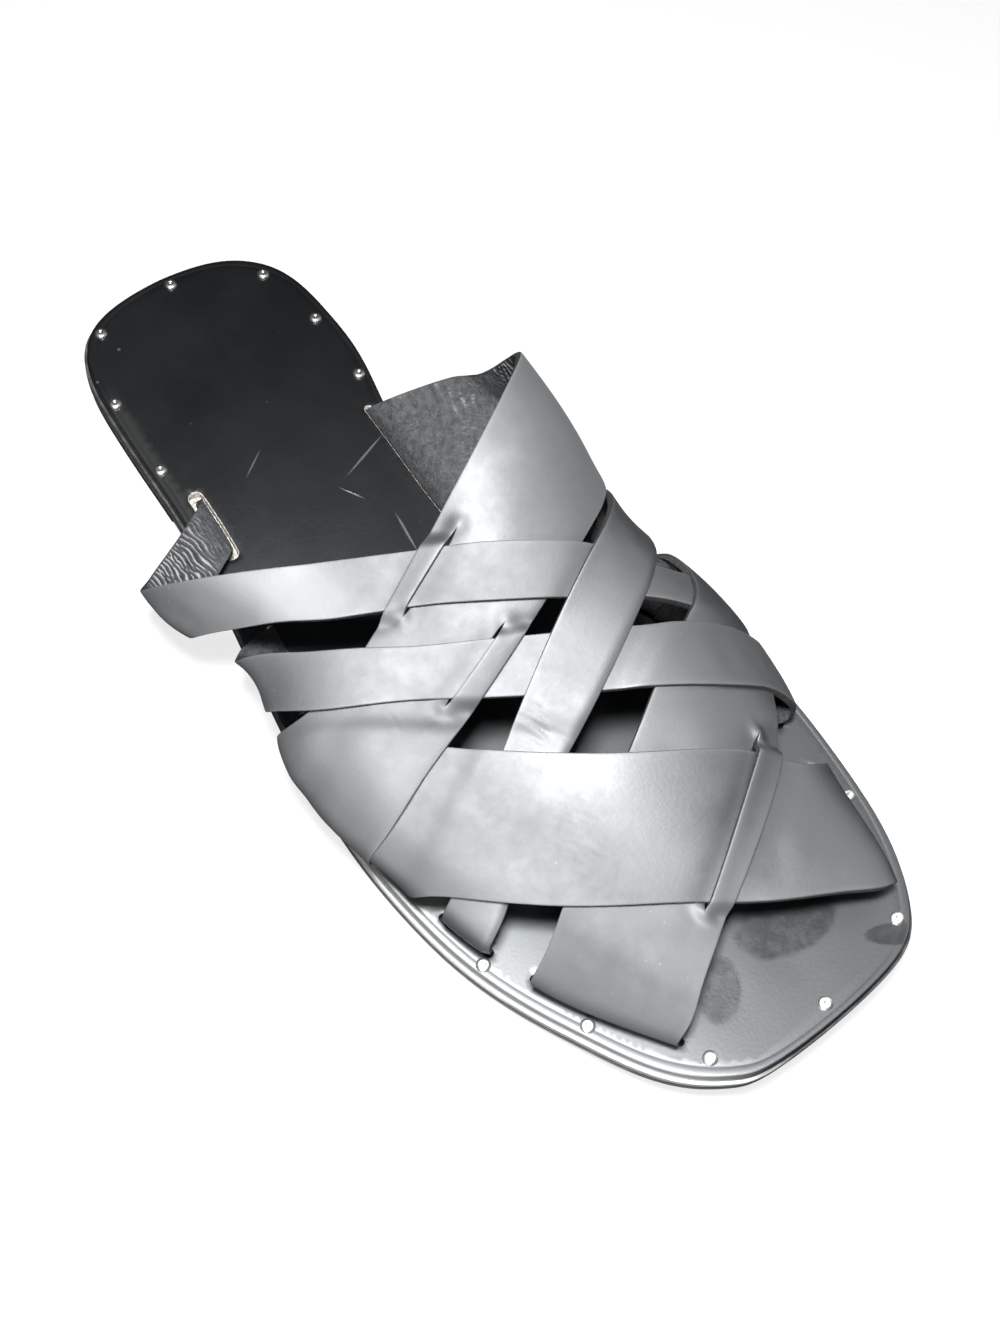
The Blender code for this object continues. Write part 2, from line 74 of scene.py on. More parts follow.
# smooth curves through tables
def splineBends(step, leg):
    # how a natural spline bends at each of its turns, for one line or for many at once
    count = step.shape[-1] + 1
    system = np.zeros((*step.shape[:-1], count, count))
    right = np.zeros((*leg.shape[:-2], count, leg.shape[-1]))
    system[..., 0, 0] = system[..., -1, -1] = 1
    slope = leg / step[..., None]
    for k in range(1, count - 1):
        system[..., k, k - 1] = step[..., k - 1]
        system[..., k, k] = 2 * (step[..., k - 1] + step[..., k])
        system[..., k, k + 1] = step[..., k]
        right[..., k, :] = 6 * (slope[..., k, :] - slope[..., k - 1, :])
    return np.linalg.solve(system, right)


def smoothCurve(at, values):
    # a natural spline, read at any array of places
    at = np.array(at, float)
    values = np.array(values, float)
    step = np.diff(at)
    bends = splineBends(step, np.diff(values, axis=0))

    def curve(x):
        x = np.clip(np.asarray(x, float), at[0], at[-1])
        i = np.clip(np.searchsorted(at, x) - 1, 0, len(step) - 1)
        wide = step[i][..., None]
        a = (at[i + 1] - x)[..., None] / wide
        b = 1 - a
        pull = ((a ** 3 - a) * bends[i] + (b ** 3 - b) * bends[i + 1]) * wide ** 2 / 6
        return a * values[i] + b * values[i + 1] + pull

    return curve


def tableCurve(table):
    return smoothCurve([row[0] for row in table], [row[1:] for row in table])


def ease(x):
    x = np.clip(x, 0.0, 1.0)
    return x * x * (3 - 2 * x)


def ramp(x, low, high):
    # 0 at low, 1 at high, smooth; low may lie above high
    return ease((x - low) / (high - low))


def latticeNoise(x, y, seed):
    # soft random hills, one per unit
    heights = np.random.default_rng(seed).random((64, 64)) * 2 - 1
    xi, yi = np.floor(x).astype(int), np.floor(y).astype(int)
    tx, ty = ease(x - xi), ease(y - yi)

    def row(up):
        return heights[xi & 63, (yi + up) & 63] * (1 - tx) + heights[(xi + 1) & 63, (yi + up) & 63] * tx

    return row(0) * (1 - ty) + row(1) * ty


# the sole's shape
sole = {
    "length": 260.0, "heelSeat": 35.0, "gap": 0.3, "outsole": 2.0, "midsole": 2.0, "footbed": 2.3,
    "heelLift": 2.0, "heelEnd": 64.0, "heelRamp": 60.0, "toeSpring": 7.0, "springStart": 185.0,
    "footbedInset": 0.9, "stations": 200, "leastHalf": 0.12,
}
# half widths each side of the centre line: along, inner (big toe), outer
solePlan = (
    (0, 0, 0), (2, 16, 16.5), (6, 24, 24.7), (12, 29.5, 29.5), (20, 32.5, 32.3), (35, 33.5, 34.2),
    (50, 32.5, 35.2), (65, 29, 36), (80, 25.5, 37.5), (95, 24.5, 39.8), (110, 27.5, 42.6), (125, 35, 45.4),
    (140, 46, 48), (155, 55, 49.7), (170, 59.5, 50.2), (185, 60.5, 49.3), (200, 60, 47), (215, 58, 42.5),
    (230, 54.7, 36), (242, 50, 30), (251, 44, 23), (256, 38.5, 16.5), (259, 29, 8), (260, 11, -11),
)


def soleAngle(along):
    return np.arccos(np.clip(1 - 2 * np.asarray(along, float) / sole["length"], -1, 1))


soleWidths = smoothCurve(soleAngle([row[0] for row in solePlan]), [row[1:] for row in solePlan])


def soleUnderside(along):
    along = np.asarray(along, float)
    heel = (sole["heelLift"] + sole["gap"]) * (1 - ease((along - sole["heelEnd"]) / sole["heelRamp"]))
    toe = np.maximum(along - sole["springStart"], 0) / (sole["length"] - sole["springStart"])
    return heel + sole["toeSpring"] * toe ** 2


def footbedTop(along):
    return soleUnderside(along) + sole["outsole"] + sole["midsole"] + sole["footbed"] + 2 * sole["gap"]


# the last that the straps follow
# along, then across and up of: inner foot, inner bulge, inner crown, outer crown, outer bulge, outer foot
lastTable = (
    (60, -23, -38, 24, -38, 60, 20, 46, 55, 22, 29.3),
    (80, -22, -42, 25, -40, 59, 18, 45, 55.8, 21, 30.4),
    (100, -21, -45, 26, -38.5, 56, 18, 42, 55, 20, 33.2),
    (120, -24, -46.5, 26, -39, 50, 18, 38, 47.8, 22.5, 37),
    (140, -37, -48.5, 22, -37, 40, 20, 35, 51.5, 20, 43),
    (160, -48, -54, 19, -38, 34, 20, 31, 53.2, 18.5, 45),
    (180, -53.5, -56, 16, -38, 30, 17, 28, 47.8, 16.5, 45),
    (200, -51.3, -53, 14.5, -38, 25, 12, 26, 42, 16.5, 41),
    (220, -47.6, -48.1, 14, -35, 20.5, 6, 23, 34.5, 16, 32.6),
    (240, -43.2, -43, 16, -31, 19.5, 2, 20.5, 22.5, 17, 21.3),
    (256, -36, -35, 18, -25, 19.5, -4, 20, 12, 18, 11),
)
lastRow = tableCurve(lastTable)
tuck = 0.015   # part of the section that goes down into a slot
last = {"bend": 4.5, "shortBend": 0.6, "foot": 0.4, "slotFoot": 0.45}
turnPlaces = np.array((-tuck, 0.0, 0.13, 0.15, 0.17, 0.33, 0.62, 0.84, 0.86, 0.88, 1.0, 1.0 + tuck))


def bendTurns(before, corner, after):
    # three turns round a bend whose outermost point is the corner
    def size(v):
        return np.hypot(v[:, 0], v[:, 1])[:, None]
    wayIn = (corner - before) / size(corner - before)
    wayOut = (after - corner) / size(after - corner)
    turn = np.arctan2(wayIn[:, 0] * wayOut[:, 1] - wayIn[:, 1] * wayOut[:, 0], (wayIn * wayOut).sum(1))
    shorter = np.minimum(size(corner - before), size(after - corner))
    radius = np.minimum(last["bend"], last["shortBend"] * shorter)
    inward = (wayOut - wayIn) / size(wayOut - wayIn)
    turns = []
    for part in (-0.4, 0.0, 0.4):
        c, s = np.cos(part * turn), np.sin(part * turn)
        spun = np.stack((c * inward[:, 0] - s * inward[:, 1], s * inward[:, 0] + c * inward[:, 1]), 1)
        turns.append(corner + radius * (inward - spun))
    return turns


def sectionTurns(along):
    r = lastRow(along).T
    foot = footbedTop(along) + last["foot"]
    low = footbedTop(along) + last["slotFoot"] - sole["footbed"]
    start, inner, inBulge, inCrown, outCrown, outBulge, outer, end = [np.stack(p, 1) for p in (
        (r[0], low), (r[0], foot), (r[1], r[2]), (r[3], r[4]),
        (r[5], r[6]), (r[7], r[8]), (r[9], foot), (r[9], low))]
    return np.stack([start, inner, *bendTurns(inner, inBulge, inCrown), inCrown,
                     outCrown, *bendTurns(outCrown, outBulge, outer), outer, end], 1)


def girthAt(across, lengths):
    # how far round the section a place across lies; it never turns back between the turns
    slope = np.diff(lengths, axis=1) / np.diff(turnPlaces)
    middle = 2 * slope[:, :-1] * slope[:, 1:] / (slope[:, :-1] + slope[:, 1:])
    slopes = np.concatenate((slope[:, :1], middle, slope[:, -1:]), 1)
    across = np.clip(across, turnPlaces[0], turnPlaces[-1])
    i = np.clip(np.searchsorted(turnPlaces, across) - 1, 0, len(turnPlaces) - 2)
    n = np.arange(len(across))
    step = turnPlaces[i + 1] - turnPlaces[i]
    t = (across - turnPlaces[i]) / step
    start = (1 + 2 * t) * (1 - t) ** 2 * lengths[n, i] + t * (1 - t) ** 2 * step * slopes[n, i]
    return start + t * t * (3 - 2 * t) * lengths[n, i + 1] + t * t * (t - 1) * step * slopes[n, i + 1]


def lastSurface(across, along):
    # points of the last, for arrays of places across (0 inner slot, 1 outer slot) and along
    shape = np.broadcast(across, along).shape
    across = np.broadcast_to(across, shape).ravel()
    along = np.broadcast_to(along, shape).ravel()
    turns = sectionTurns(along)
    leg = np.diff(turns, axis=1)
    lengths = np.concatenate((np.zeros((len(along), 1)), np.cumsum(np.hypot(leg[..., 0], leg[..., 1]), 1)), 1)
    girth = girthAt(across, lengths)
    step = np.diff(lengths, axis=1)
    i = np.clip((girth[:, None] >= lengths).sum(1) - 1, 0, step.shape[1] - 1)
    n = np.arange(len(along))
    bends = splineBends(step, leg)
    wide = step[n, i][:, None]
    a = (lengths[n, i + 1] - girth)[:, None] / wide
    b = 1 - a
    pull = ((a ** 3 - a) * bends[n, i] + (b ** 3 - b) * bends[n, i + 1]) * (wide ** 2 / 6)
    xz = a * turns[n, i] + b * turns[n, i + 1] + pull
    return np.stack((xz[:, 0], along, xz[:, 1]), 1).reshape(*shape, 3)


# straps
strap = {
    "thick": 1.8, "step": 0.68, "reach": 4.0, "rest": 0.02,
    "girth": 205,   # millimetres round the foot from slot to slot
    "slitWidth": 0.5, "slitTip": 0.012, "slitSide": 1.1, "tipReach": 2.4, "longestEase": 8.0, "hold": 4.0,
    "curl": {"middleDiagonal": 0.6, "rearDiagonal": 0.2}, "curlWidth": 0.9,
    "sway": 0.16, "swaySize": (14, 11), "edgeWearAndHighlightReach": 0.45, "samples": 900, "rimRoom": 2.4,
    "net": {"frontCrossing": (0.8, 0.5)}, "plainNet": (0.5, 1.0),
    "edgeSteps": (0.0, 0.05, 0.13, 0.3, 0.8), "edgeDrop": (0.24, 0.11, 0.045, 0.01, 0.0),
}
# across, rear edge, front edge
strapTables = {
    "rearDiagonal": (
        (0, 68, 113), (0.15, 83, 121), (0.23, 92, 131), (0.31, 101.3, 138), (0.4, 110, 145.3),
        (0.5, 120.3, 153.8), (0.6, 130.4, 161.4), (0.7, 137.8, 166.4), (0.8, 139, 170.7),
        (0.9, 136, 171.8), (1, 132, 169)),
    "middleDiagonal": (
        (0, 116, 137), (0.15, 127, 145), (0.24, 135, 151), (0.4, 147.6, 165.4), (0.5, 159.2, 176.2),
        (0.6, 171.4, 184.8), (0.72, 181.8, 194), (0.86, 190.7, 202.6), (1, 190, 202)),
    "frontDiagonal": (
        (0, 140.4, 182), (0.15, 151, 188), (0.22, 161, 193.3), (0.3, 168.8, 204.2), (0.4, 177.2, 215),
        (0.5, 188, 223.8), (0.6, 197.2, 231), (0.72, 205.4, 237), (0.86, 213, 242), (1, 213, 242)),
    "rearCrossing": (
        (0, 158, 174), (0.15, 159, 176), (0.28, 157.5, 169.6), (0.36, 149.8, 162.8), (0.45, 140.3, 154),
        (0.53, 129.8, 143.5), (0.6, 120.4, 134.2), (0.71, 108.3, 124.3), (0.77, 100.8, 118.5),
        (0.82, 94, 112.8), (0.86, 88.5, 106), (0.9, 83, 99), (1, 68, 84)),
    "middleCrossing": (
        (0, 185, 199), (0.14, 182.3, 199.3), (0.24, 177.3, 194.3), (0.34, 171.7, 189.3),
        (0.41, 166.3, 183), (0.49, 157.6, 173.4), (0.55, 150, 165), (0.61, 142.8, 156.6), (0.66, 137, 151),
        (0.77, 127, 141.3), (0.85, 118.6, 133.3), (0.9, 113.5, 128.5), (1, 108, 124)),
    "frontCrossing": (
        (0, 212, 243), (0.14, 214, 245), (0.32, 209, 241.6), (0.4, 201.6, 237.8), (0.51, 188.5, 230.3),
        (0.6, 173.3, 221.5), (0.7, 157.5, 210.7), (0.79, 147, 196.8), (0.84, 144, 188), (0.88, 142.3, 183),
        (1, 141, 180)),
}
# strap, crossing strap that passes through, strip it parts off, start and end across, width share at each
slits = (
    ("rearDiagonal", "rearCrossing", "rearStrip", 0.514, 0.607, 0.178, 0.158),
    ("rearDiagonal", "middleCrossing", "frontStrip", 0.519, 0.625, 0.838, 0.813),
    ("frontDiagonal", "frontCrossing", "frontStrip", 0.348, 0.592, 0.765, 0.838),
)
# what each crossing strap meets, a diagonal or a strip of it: 1 where the crossing strap is over, -1 under
weaveOrder = {
    "rearCrossing": {"rearDiagonal.rearStrip": -1, "rearDiagonal": 1, "middleDiagonal": -1,
                     "frontDiagonal": -1},
    "middleCrossing": {"rearDiagonal": 1, "rearDiagonal.frontStrip": -1, "middleDiagonal": -1,
                       "frontDiagonal": 1},
    "frontCrossing": {"rearDiagonal": -1, "middleDiagonal": 1, "frontDiagonal": 1,
                      "frontDiagonal.frontStrip": -1},
}
strapEdges = {name: tableCurve(table) for name, table in strapTables.items()}


def slitsOf(name):
    return [row[1:] for row in slits if row[0] == name]


def slitShare(slit, across):
    part = np.clip((across - slit[2]) / (slit[3] - slit[2]), 0, 1)
    return slit[4] + part * (slit[5] - slit[4])


def slitOpen(slit, across):
    return ease((across - slit[2]) / strap["slitTip"]) * ease((slit[3] - across) / strap["slitTip"])


def beside(rear, front, along):
    # how far outside two edges a place is
    return np.maximum(np.maximum(rear - along, along - front), 0.0)


def nearness(rear, front, along):
    # 1 between two edges, falling softly to 0 beside them
    return 1 / (1 + (beside(rear, front, along) / strap["reach"]) ** 2) ** 2


def edgesAt(name, across):
    edges = strapEdges[name](across)
    return edges[..., 0], edges[..., 1]


def laneEdges(crossing, lane, across):
    # a lane is a diagonal, or the strip of it that this crossing strap's slit parts off
    name, _, strip = lane.partition(".")
    rear, front = edgesAt(name, across)
    for slit in slitsOf(name):
        if slit[0] == crossing:
            share = slitShare(slit, across)
            line = rear * (1 - share) + front * share
            if (strip == slit[1]) == (slit[1] == "rearStrip"):
                front = line
            else:
                rear = line
    return rear, front


def meanLift(meetings):
    # the lifts that the straps met here ask for, weighed by how near each is
    total, weight = 0.0, strap["rest"]
    for near, lift in meetings:
        total = total + near * lift
        weight = weight + near
    return total / weight


def crossingLift(name, across, along):
    # a crossing strap rises over and dips under the diagonals it meets
    return meanLift([(nearness(*laneEdges(name, lane, across), along), over)
                     for lane, over in weaveOrder[name].items()])


def diagonalLift(name, across, along):
    # a diagonal keeps two steps from the crossing strap it meets
    return meanLift([(nearness(*edgesAt(crossing, across), along),
                      crossingLift(crossing, across, along) - 2 * lanes[name])
                     for crossing, lanes in weaveOrder.items() if name in lanes])


def strapLift(name, share, across, along, wide):
    if name.endswith("Crossing"):
        return crossingLift(name, across, along)
    rise = diagonalLift(name, across, along)
    for slit in slitsOf(name):
        # the strip rides over the crossing strap, and eases into the rest of its strap past the slit's tips
        side = 1 if slit[1] == "rearStrip" else -1
        fromLine = side * (slitShare(slit, across) - share) * wide
        past = beside(slit[2], slit[3], across) * strap["girth"]
        hold = ease(fromLine / np.clip(past, 0.01, strap["longestEase"]))
        hold = hold * ease(1 - beside(*edgesAt(slit[0], across), along) / strap["hold"])
        rise = rise + hold * (diagonalLift(name + "." + slit[1], across, along) - rise)
    for slit in slitsOf(name):
        for tip, tipShare in ((slit[2], slit[4]), (slit[3], slit[5])):
            rear, front = edgesAt(name, tip)
            line = rear * (1 - tipShare) + front * tipShare
            apart = ((across - tip) * strap["girth"]) ** 2 + (along - line) ** 2
            rise = rise * (1 - np.exp(-apart / strap["tipReach"] ** 2))
    return rise


def unit(v):
    return v / np.linalg.norm(v, axis=-1, keepdims=True)


def lengthAlong(points):
    # how far along a line of points each of them lies
    return np.concatenate(([0.0], np.cumsum(np.linalg.norm(np.diff(points, axis=0), axis=1))))


def strapGrid(name):
    # places across and shares of the width for the strap's fine net, and which lane each column is in
    edges = strapEdges[name]
    coarse = np.linspace(-tuck, 1 + tuck, strap["samples"])
    middle = lastSurface(coarse, edges(coarse).mean(-1))
    length = lengthAlong(middle)
    rowStep, columnStep = strap["net"].get(name, strap["plainNet"])
    across = np.interp(np.linspace(0, length[-1], int(length[-1] / rowStep)), length, coarse)
    for slit in slitsOf(name):
        for tip in slit[2:4]:
            across[np.abs(across - tip).argmin()] = tip
    rear, front = [lastSurface(across, edge) for edge in edgesAt(name, across)]
    run = unit(np.gradient(rear + front, axis=0))
    wide = front - rear
    wide = np.linalg.norm(wide - (wide * run).sum(1, keepdims=True) * run, axis=1)
    bounds = [np.zeros_like(across)]
    for slit in sorted(slitsOf(name), key=lambda row: row[4]):
        lip = strap["slitWidth"] / 2 * slitOpen(slit, across) / wide
        bounds += [slitShare(slit, across) - lip, slitShare(slit, across) + lip]
    bounds.append(np.ones_like(across))
    columns, lane, fromEdge = [], [], []
    steps = np.array(strap["edgeSteps"])
    for k in range(0, len(bounds), 2):
        start, end = bounds[k], bounds[k + 1]
        room = (end - start) * wide
        rims = np.minimum(1.0, room / (strap["rimRoom"] * steps[-1])) * steps[:, None] / wide
        inner = max(int(np.median(room) / columnStep) - 1, 2)
        low, high = start + rims[-1], end - rims[-1]
        between = [low + (high - low) * m / inner for m in range(1, inner)]
        for column in [*(start + rims), *between, *(end - rims[::-1])]:
            columns.append(column)
            fromEdge.append(np.minimum(column - start, end - column) * wide)
            lane.append(k // 2)
    return across, np.stack(columns, 1), np.array(lane), np.stack(fromEdge, 1), wide


def strapFaces(name, across, lane):
    # the faces over, round and under a strap's net, and the material of each
    rows, count = len(across), len(lane)
    index = np.arange(rows * count).reshape(rows, count)
    below = rows * count
    solid = lane[:-1] == lane[1:]
    a, b = index[:-1, :-1][:, solid], index[1:, :-1][:, solid]
    c, d = index[1:, 1:][:, solid], index[:-1, 1:][:, solid]
    over = np.stack((a, b, c, d), -1).reshape(-1, 4)
    under = np.stack((a, d, c, b), -1).reshape(-1, 4) + below
    walls = []

    def addWall(p, q):
        walls.append(np.stack((p, q, q + below, p + below), -1))

    # the walls at the rear and front edges and along the slits: column, whether it faces back, slit
    sides = [(0, True, None), (count - 1, False, None)]
    ordered = sorted(slitsOf(name), key=lambda row: row[4])
    for k, j in enumerate(np.flatnonzero(~solid)):
        sides += [(j, False, ordered[k]), (j + 1, True, ordered[k])]
    for j, facesBack, slit in sides:
        i = np.arange(rows - 1)
        if slit:
            i = i[(across[:-1] > slit[2] - 1e-9) & (across[1:] < slit[3] + 1e-9)]
        p, q = index[i, j], index[i + 1, j]
        addWall(*((q, p) if facesBack else (p, q)))
    j = np.flatnonzero(solid)
    addWall(index[0, j], index[0, j + 1])
    addWall(index[-1, j + 1], index[-1, j])
    parts = (over, np.concatenate(walls), under)
    return np.concatenate(parts), np.repeat((0, 1, 2), [len(part) for part in parts])


def makeStrap(name, materials):
    across, share, lane, fromEdge, wide = strapGrid(name)
    edges = strapEdges[name](across)
    along = edges[:, :1] + share * (edges[:, 1:] - edges[:, :1])
    acrossGrid = np.broadcast_to(across[:, None], share.shape)
    middle = lastSurface(acrossGrid, along)
    spine = lastSurface(across, edges.mean(1))
    run = unit(np.gradient(spine, axis=0))
    normal = gridNormal(middle, share)
    side = np.cross(normal[:, len(lane) // 2], run)
    travelled = lengthAlong(spine)
    off = middle - spine[:, None]
    u = travelled[:, None] + (off * run[:, None]).sum(2)
    v = (off * side[:, None]).sum(2)

    # rounding, edge rubbing and the painted edge highlight fade where the two lips of a slit close up
    parted = np.ones_like(share)
    for slit in slitsOf(name):
        near = np.abs(share - slitShare(slit, acrossGrid)) * wide[:, None] < strap["slitSide"]
        parted = np.where(near, parted * slitOpen(slit, acrossGrid), parted)
    drop = np.interp(fromEdge, strap["edgeSteps"], strap["edgeDrop"]) * parted
    half = strap["thick"] / 2
    seed = sorted(strapTables).index(name) + 5
    lift = strapLift(name, share, acrossGrid, along, wide[:, None]) * strap["step"]
    long, short = strap["swaySize"]
    lift = lift + strap["sway"] * latticeNoise(u / long + 7, v / short + 3, seed)
    curl = strap["curl"].get(name, 0.0) * np.exp(-((1 - share) * wide[:, None] / strap["curlWidth"]) ** 2)

    def toFlat(atAcross, atAlong):
        k = np.abs(across - atAcross).argmin()
        gap = lastSurface(np.array([atAcross]), np.array([atAlong]))[0] - spine[k]
        return np.array([travelled[k] + gap @ run[k], gap @ side[k]])

    folds, tightest = fleshCreases(name, acrossGrid, u, v, fromEdge, seed)
    top = middle + normal * (lift + half - drop - curl + topCreases(name, toFlat, u, v))[..., None]
    bottom = middle + normal * (lift - half - folds)[..., None]

    points = np.concatenate((top.reshape(-1, 3), bottom.reshape(-1, 3)))
    faces, kind = strapFaces(name, across, lane)
    piece = meshPiece("strap" + name[0].upper() + name[1:], points, faces, materials, kind)

    # fold and gather carry the flesh side's painted highlight and painted shade
    for key, values in (("fold", folds / gatherShape["deepest"]), ("gather", tightest)):
        addAttribute(piece, key, np.concatenate((0 * values.ravel(), values.ravel())))
    # paleness paints sheen as a paler tone on the strap's top
    places, roughness, sheenPaleness = np.array(wear[name]).T
    # rim paints a lighter edge: rubbed edge wear and a painted edge highlight
    for key, values in (("rim", np.exp(-fromEdge / strap["edgeWearAndHighlightReach"]) * parted),
                        ("dull", np.interp(acrossGrid, places, roughness)),
                        ("paleSheen", np.interp(acrossGrid, places, sheenPaleness))):
        addAttribute(piece, key, np.tile(values.ravel(), 2))
    return weld(piece)


def gridNormal(points, share):
    # columns at a closed slit coincide, so each one's sideways run comes from the wider of its two gaps
    def gaps(grid):
        gap = np.diff(grid, axis=1)
        return np.concatenate((gap[:, :1], gap), 1), np.concatenate((gap, gap[:, -1:]), 1)

    left, right = gaps(share[..., None])
    wider = left > right
    sideways = np.where(wider, *gaps(points)) / np.maximum(np.where(wider, left, right), 1e-9)
    return unit(np.cross(np.gradient(points, axis=0), sideways))


# creases, listed one by one: start and end (across, along), bow, half width, depth (negative for a ridge)
creases = {
    "frontCrossing": (
        (0.637, 192, 0.62, 199.5, 0.5, 0.6, 0.07), (0.646, 193.5, 0.624, 202, 0.6, 0.65, 0.09),
        (0.64, 197.5, 0.622, 204, -0.4, 0.6, 0.07), (0.656, 196, 0.636, 202, 0.4, 0.6, 0.07),
        (0.666, 197.5, 0.648, 203, 0.3, 0.6, 0.06), (0.676, 199, 0.662, 204, -0.3, 0.6, 0.05),
        (0.603, 190.5, 0.586, 197, 0.5, 0.6, 0.05), (0.613, 191, 0.598, 197, 0.3, 0.6, 0.05),
        (0.596, 186.5, 0.58, 192, 0.4, 0.6, 0.04), (0.626, 189.5, 0.611, 195, 0.4, 0.6, 0.05),
        (0.5, 206, 0.42, 232, 3, 5, 0.18), (0.78, 150, 0.74, 196, -2, 4, 0.2)),
    "middleDiagonal": (
        (0.57, 166, 0.553, 176.5, 0.8, 0.7, 0.15), (0.56, 165.5, 0.544, 174, 0.7, 0.7, 0.13),
        (0.549, 165.5, 0.538, 171.5, 0.5, 0.65, 0.1), (0.563, 171.5, 0.541, 179.5, 0.6, 0.65, 0.12),
        (0.579, 169.5, 0.565, 177, 0.5, 0.7, 0.12), (0.589, 171.5, 0.574, 177.5, 0.4, 0.6, 0.08),
        (0.34, 142, 0.36, 158, 1, 3.5, 0.15)),
    "rearDiagonal": (
        (0.686, 149, 0.7, 158.5, 1.2, 0.5, -0.07), (0.668, 159.5, 0.65, 157, 0.5, 0.5, -0.06),
        (0.641, 157, 0.633, 161, 0.3, 0.5, -0.05), (0.4, 122, 0.47, 143, 2, 5.5, 0.2),
        (0.27, 99, 0.31, 128, -2, 4, 0.16), (0.78, 142, 0.82, 166, 2, 4.5, 0.22),
        (0.855, 146, 0.865, 176, 0, 9, 1.2)),
    "rearCrossing": (
        (0.865, 90, 0.835, 107, 1, 2.2, 0.16), (0.8, 99, 0.77, 115, -1, 3.5, 0.1),
        (0.685, 108, 0.665, 130, 0, 9, 0.4),
        (0.7, 112, 0.67, 126, 0.8, 3, 0.08)),
    "middleCrossing": (
        (0.89, 116, 0.87, 129, 0.8, 2.2, 0.14), (0.7, 132, 0.68, 148, 1, 3, 0.08),
        (0.3, 175, 0.32, 190, -1, 3, 0.1)),
    "frontDiagonal": (
        (0.46, 186, 0.5, 218, 2.5, 4.5, 0.15), (0.76, 208, 0.79, 237, 1, 3.5, 0.16)),
}
creaseShape = {"bow": 0.4, "bank": 0.45, "bankPlace": 1.7, "fade": 0.5}
# gathered folds on the flesh side: across, reach, spacing of the folds, height
gathers = {
    "rearCrossing": ((0.915, 0.05, 1.35, 0.3), (0.12, 0.03, 1.6, 0.15)),
    "rearDiagonal": ((0.235, 0.04, 2, 0.3), (0.1, 0.07, 2.6, 0.1), (0.86, 0.035, 1.6, 0.15)),
}
plainGathers = ((0.15, 0.035, 1.7, 0.15), (0.86, 0.035, 1.7, 0.15))
gatherShape = {
    "sway": 1.5, "swaySize": (5, 6), "fineSway": 0.6, "fineSize": (2, 3), "nap": 0.05, "napSize": 2.2,
    "crest": 0.7, "valley": 1.4, "slant": 0.5, "bend": 0.02, "deepest": 0.3, "edge": 0.6,
}
# how each strap's top has worn, and where sheen is painted on it as paleness: across, roughness, paleness
wear = {
    "rearDiagonal": ((0.38, 0.82, 0), (0.44, 0.66, 0), (0.49, 0.53, 0), (0.6, 0.6, 0),
                     (0.74, 0.62, 0.22), (0.82, 0.6, 0.1)),
    "middleDiagonal": ((0.35, 0.44, 0), (0.44, 0.52, 0.25), (0.5, 0.54, 0.05)),
    "frontDiagonal": ((0.3, 0.4, 0), (0.45, 0.53, 0), (0.56, 0.6, 0.15), (0.63, 0.6, 0.4),
                      (0.7, 0.63, 0.15), (0.77, 0.72, 0)),
    "rearCrossing": ((0.42, 0.56, 0), (0.53, 0.6, 0), (0.62, 0.6, 0), (0.67, 0.58, 0.75),
                     (0.74, 0.62, 1), (0.79, 0.62, 0.1)),
    "middleCrossing": ((0.5, 0.54, 0), (0.66, 0.58, 0)),
    "frontCrossing": ((0.48, 0.42, 0), (0.57, 0.5, 0.1), (0.66, 0.6, 0), (0.75, 0.6, 0)),
}


def topCreases(name, toFlat, u, v):
    # each crease is a soft trough with a low bank on either side
    total = np.zeros_like(u)
    bank, place = creaseShape["bank"], creaseShape["bankPlace"]
    for *places, bow, width, depth in creases[name]:
        start, end = toFlat(*places[:2]), toFlat(*places[2:])
        middle = (start + end) / 2
        half = np.linalg.norm(end - start) / 2
        way = (end - start) / (2 * half)
        du, dv = u - middle[0], v - middle[1]
        s = (du * way[0] + dv * way[1]) / half
        t = (dv * way[0] - du * way[1] + bow * (s ** 2 - creaseShape["bow"])) / width
        hump = np.exp(-t ** 2) - bank * (np.exp(-(t - place) ** 2) + np.exp(-(t + place) ** 2))
        total = total - depth * hump * ease((1 - np.abs(s)) / creaseShape["fade"])
    return total


def fleshCreases(name, across, u, v, fromEdge, seed):
    # the inside of each bend at the side of the foot is gathered in fine folds that run along the bend
    g = gatherShape
    (long, wide), (shortest, narrow) = g["swaySize"], g["fineSize"]
    sway = g["sway"] * latticeNoise(u / long, v / wide, seed)
    sway = sway + g["fineSway"] * latticeNoise(u / shortest + 9, v / narrow, seed + 40)
    total = g["nap"] * latticeNoise(u / g["napSize"], v / g["napSize"], seed + 3)
    tightest = np.zeros_like(u)
    for place, reach, spacing, height in gathers.get(name, plainGathers):
        fold = np.sin((u + g["slant"] * v + sway + g["bend"] * v ** 2) * 2 * np.pi / spacing)
        fold = np.where(fold > 0, np.abs(fold) ** g["crest"], -np.abs(fold) ** g["valley"])
        near = np.exp(-((across - place) / reach) ** 2)
        total = total + height * near * fold
        tightest = np.maximum(tightest, near * height / g["deepest"])
    return total * ease(fromEdge / g["edge"]), tightest


# meshes
def meshPiece(name, points, faces, materials, kinds=None):
    # points are in millimetres from the back of the heel
    place = (np.asarray(points, float) - (0, sole["heelSeat"], 0)) * mm
    mesh = bpy.data.meshes.new(name)
    mesh.from_pydata(place.tolist(), [], [tuple(int(k) for k in f) for f in faces])
    for material in materials:
        mesh.materials.append(material)
    if kinds is not None:
        mesh.polygons.foreach_set("material_index", np.asarray(kinds, np.int32))
    mesh.shade_smooth()
    return addObject(name, mesh)


def addAttribute(piece, name, values):
    made = piece.data.attributes.new(name, "FLOAT", "POINT")
    made.data.foreach_set("value", np.asarray(values, np.float32))


sharpFrom = 48   # degrees between faces


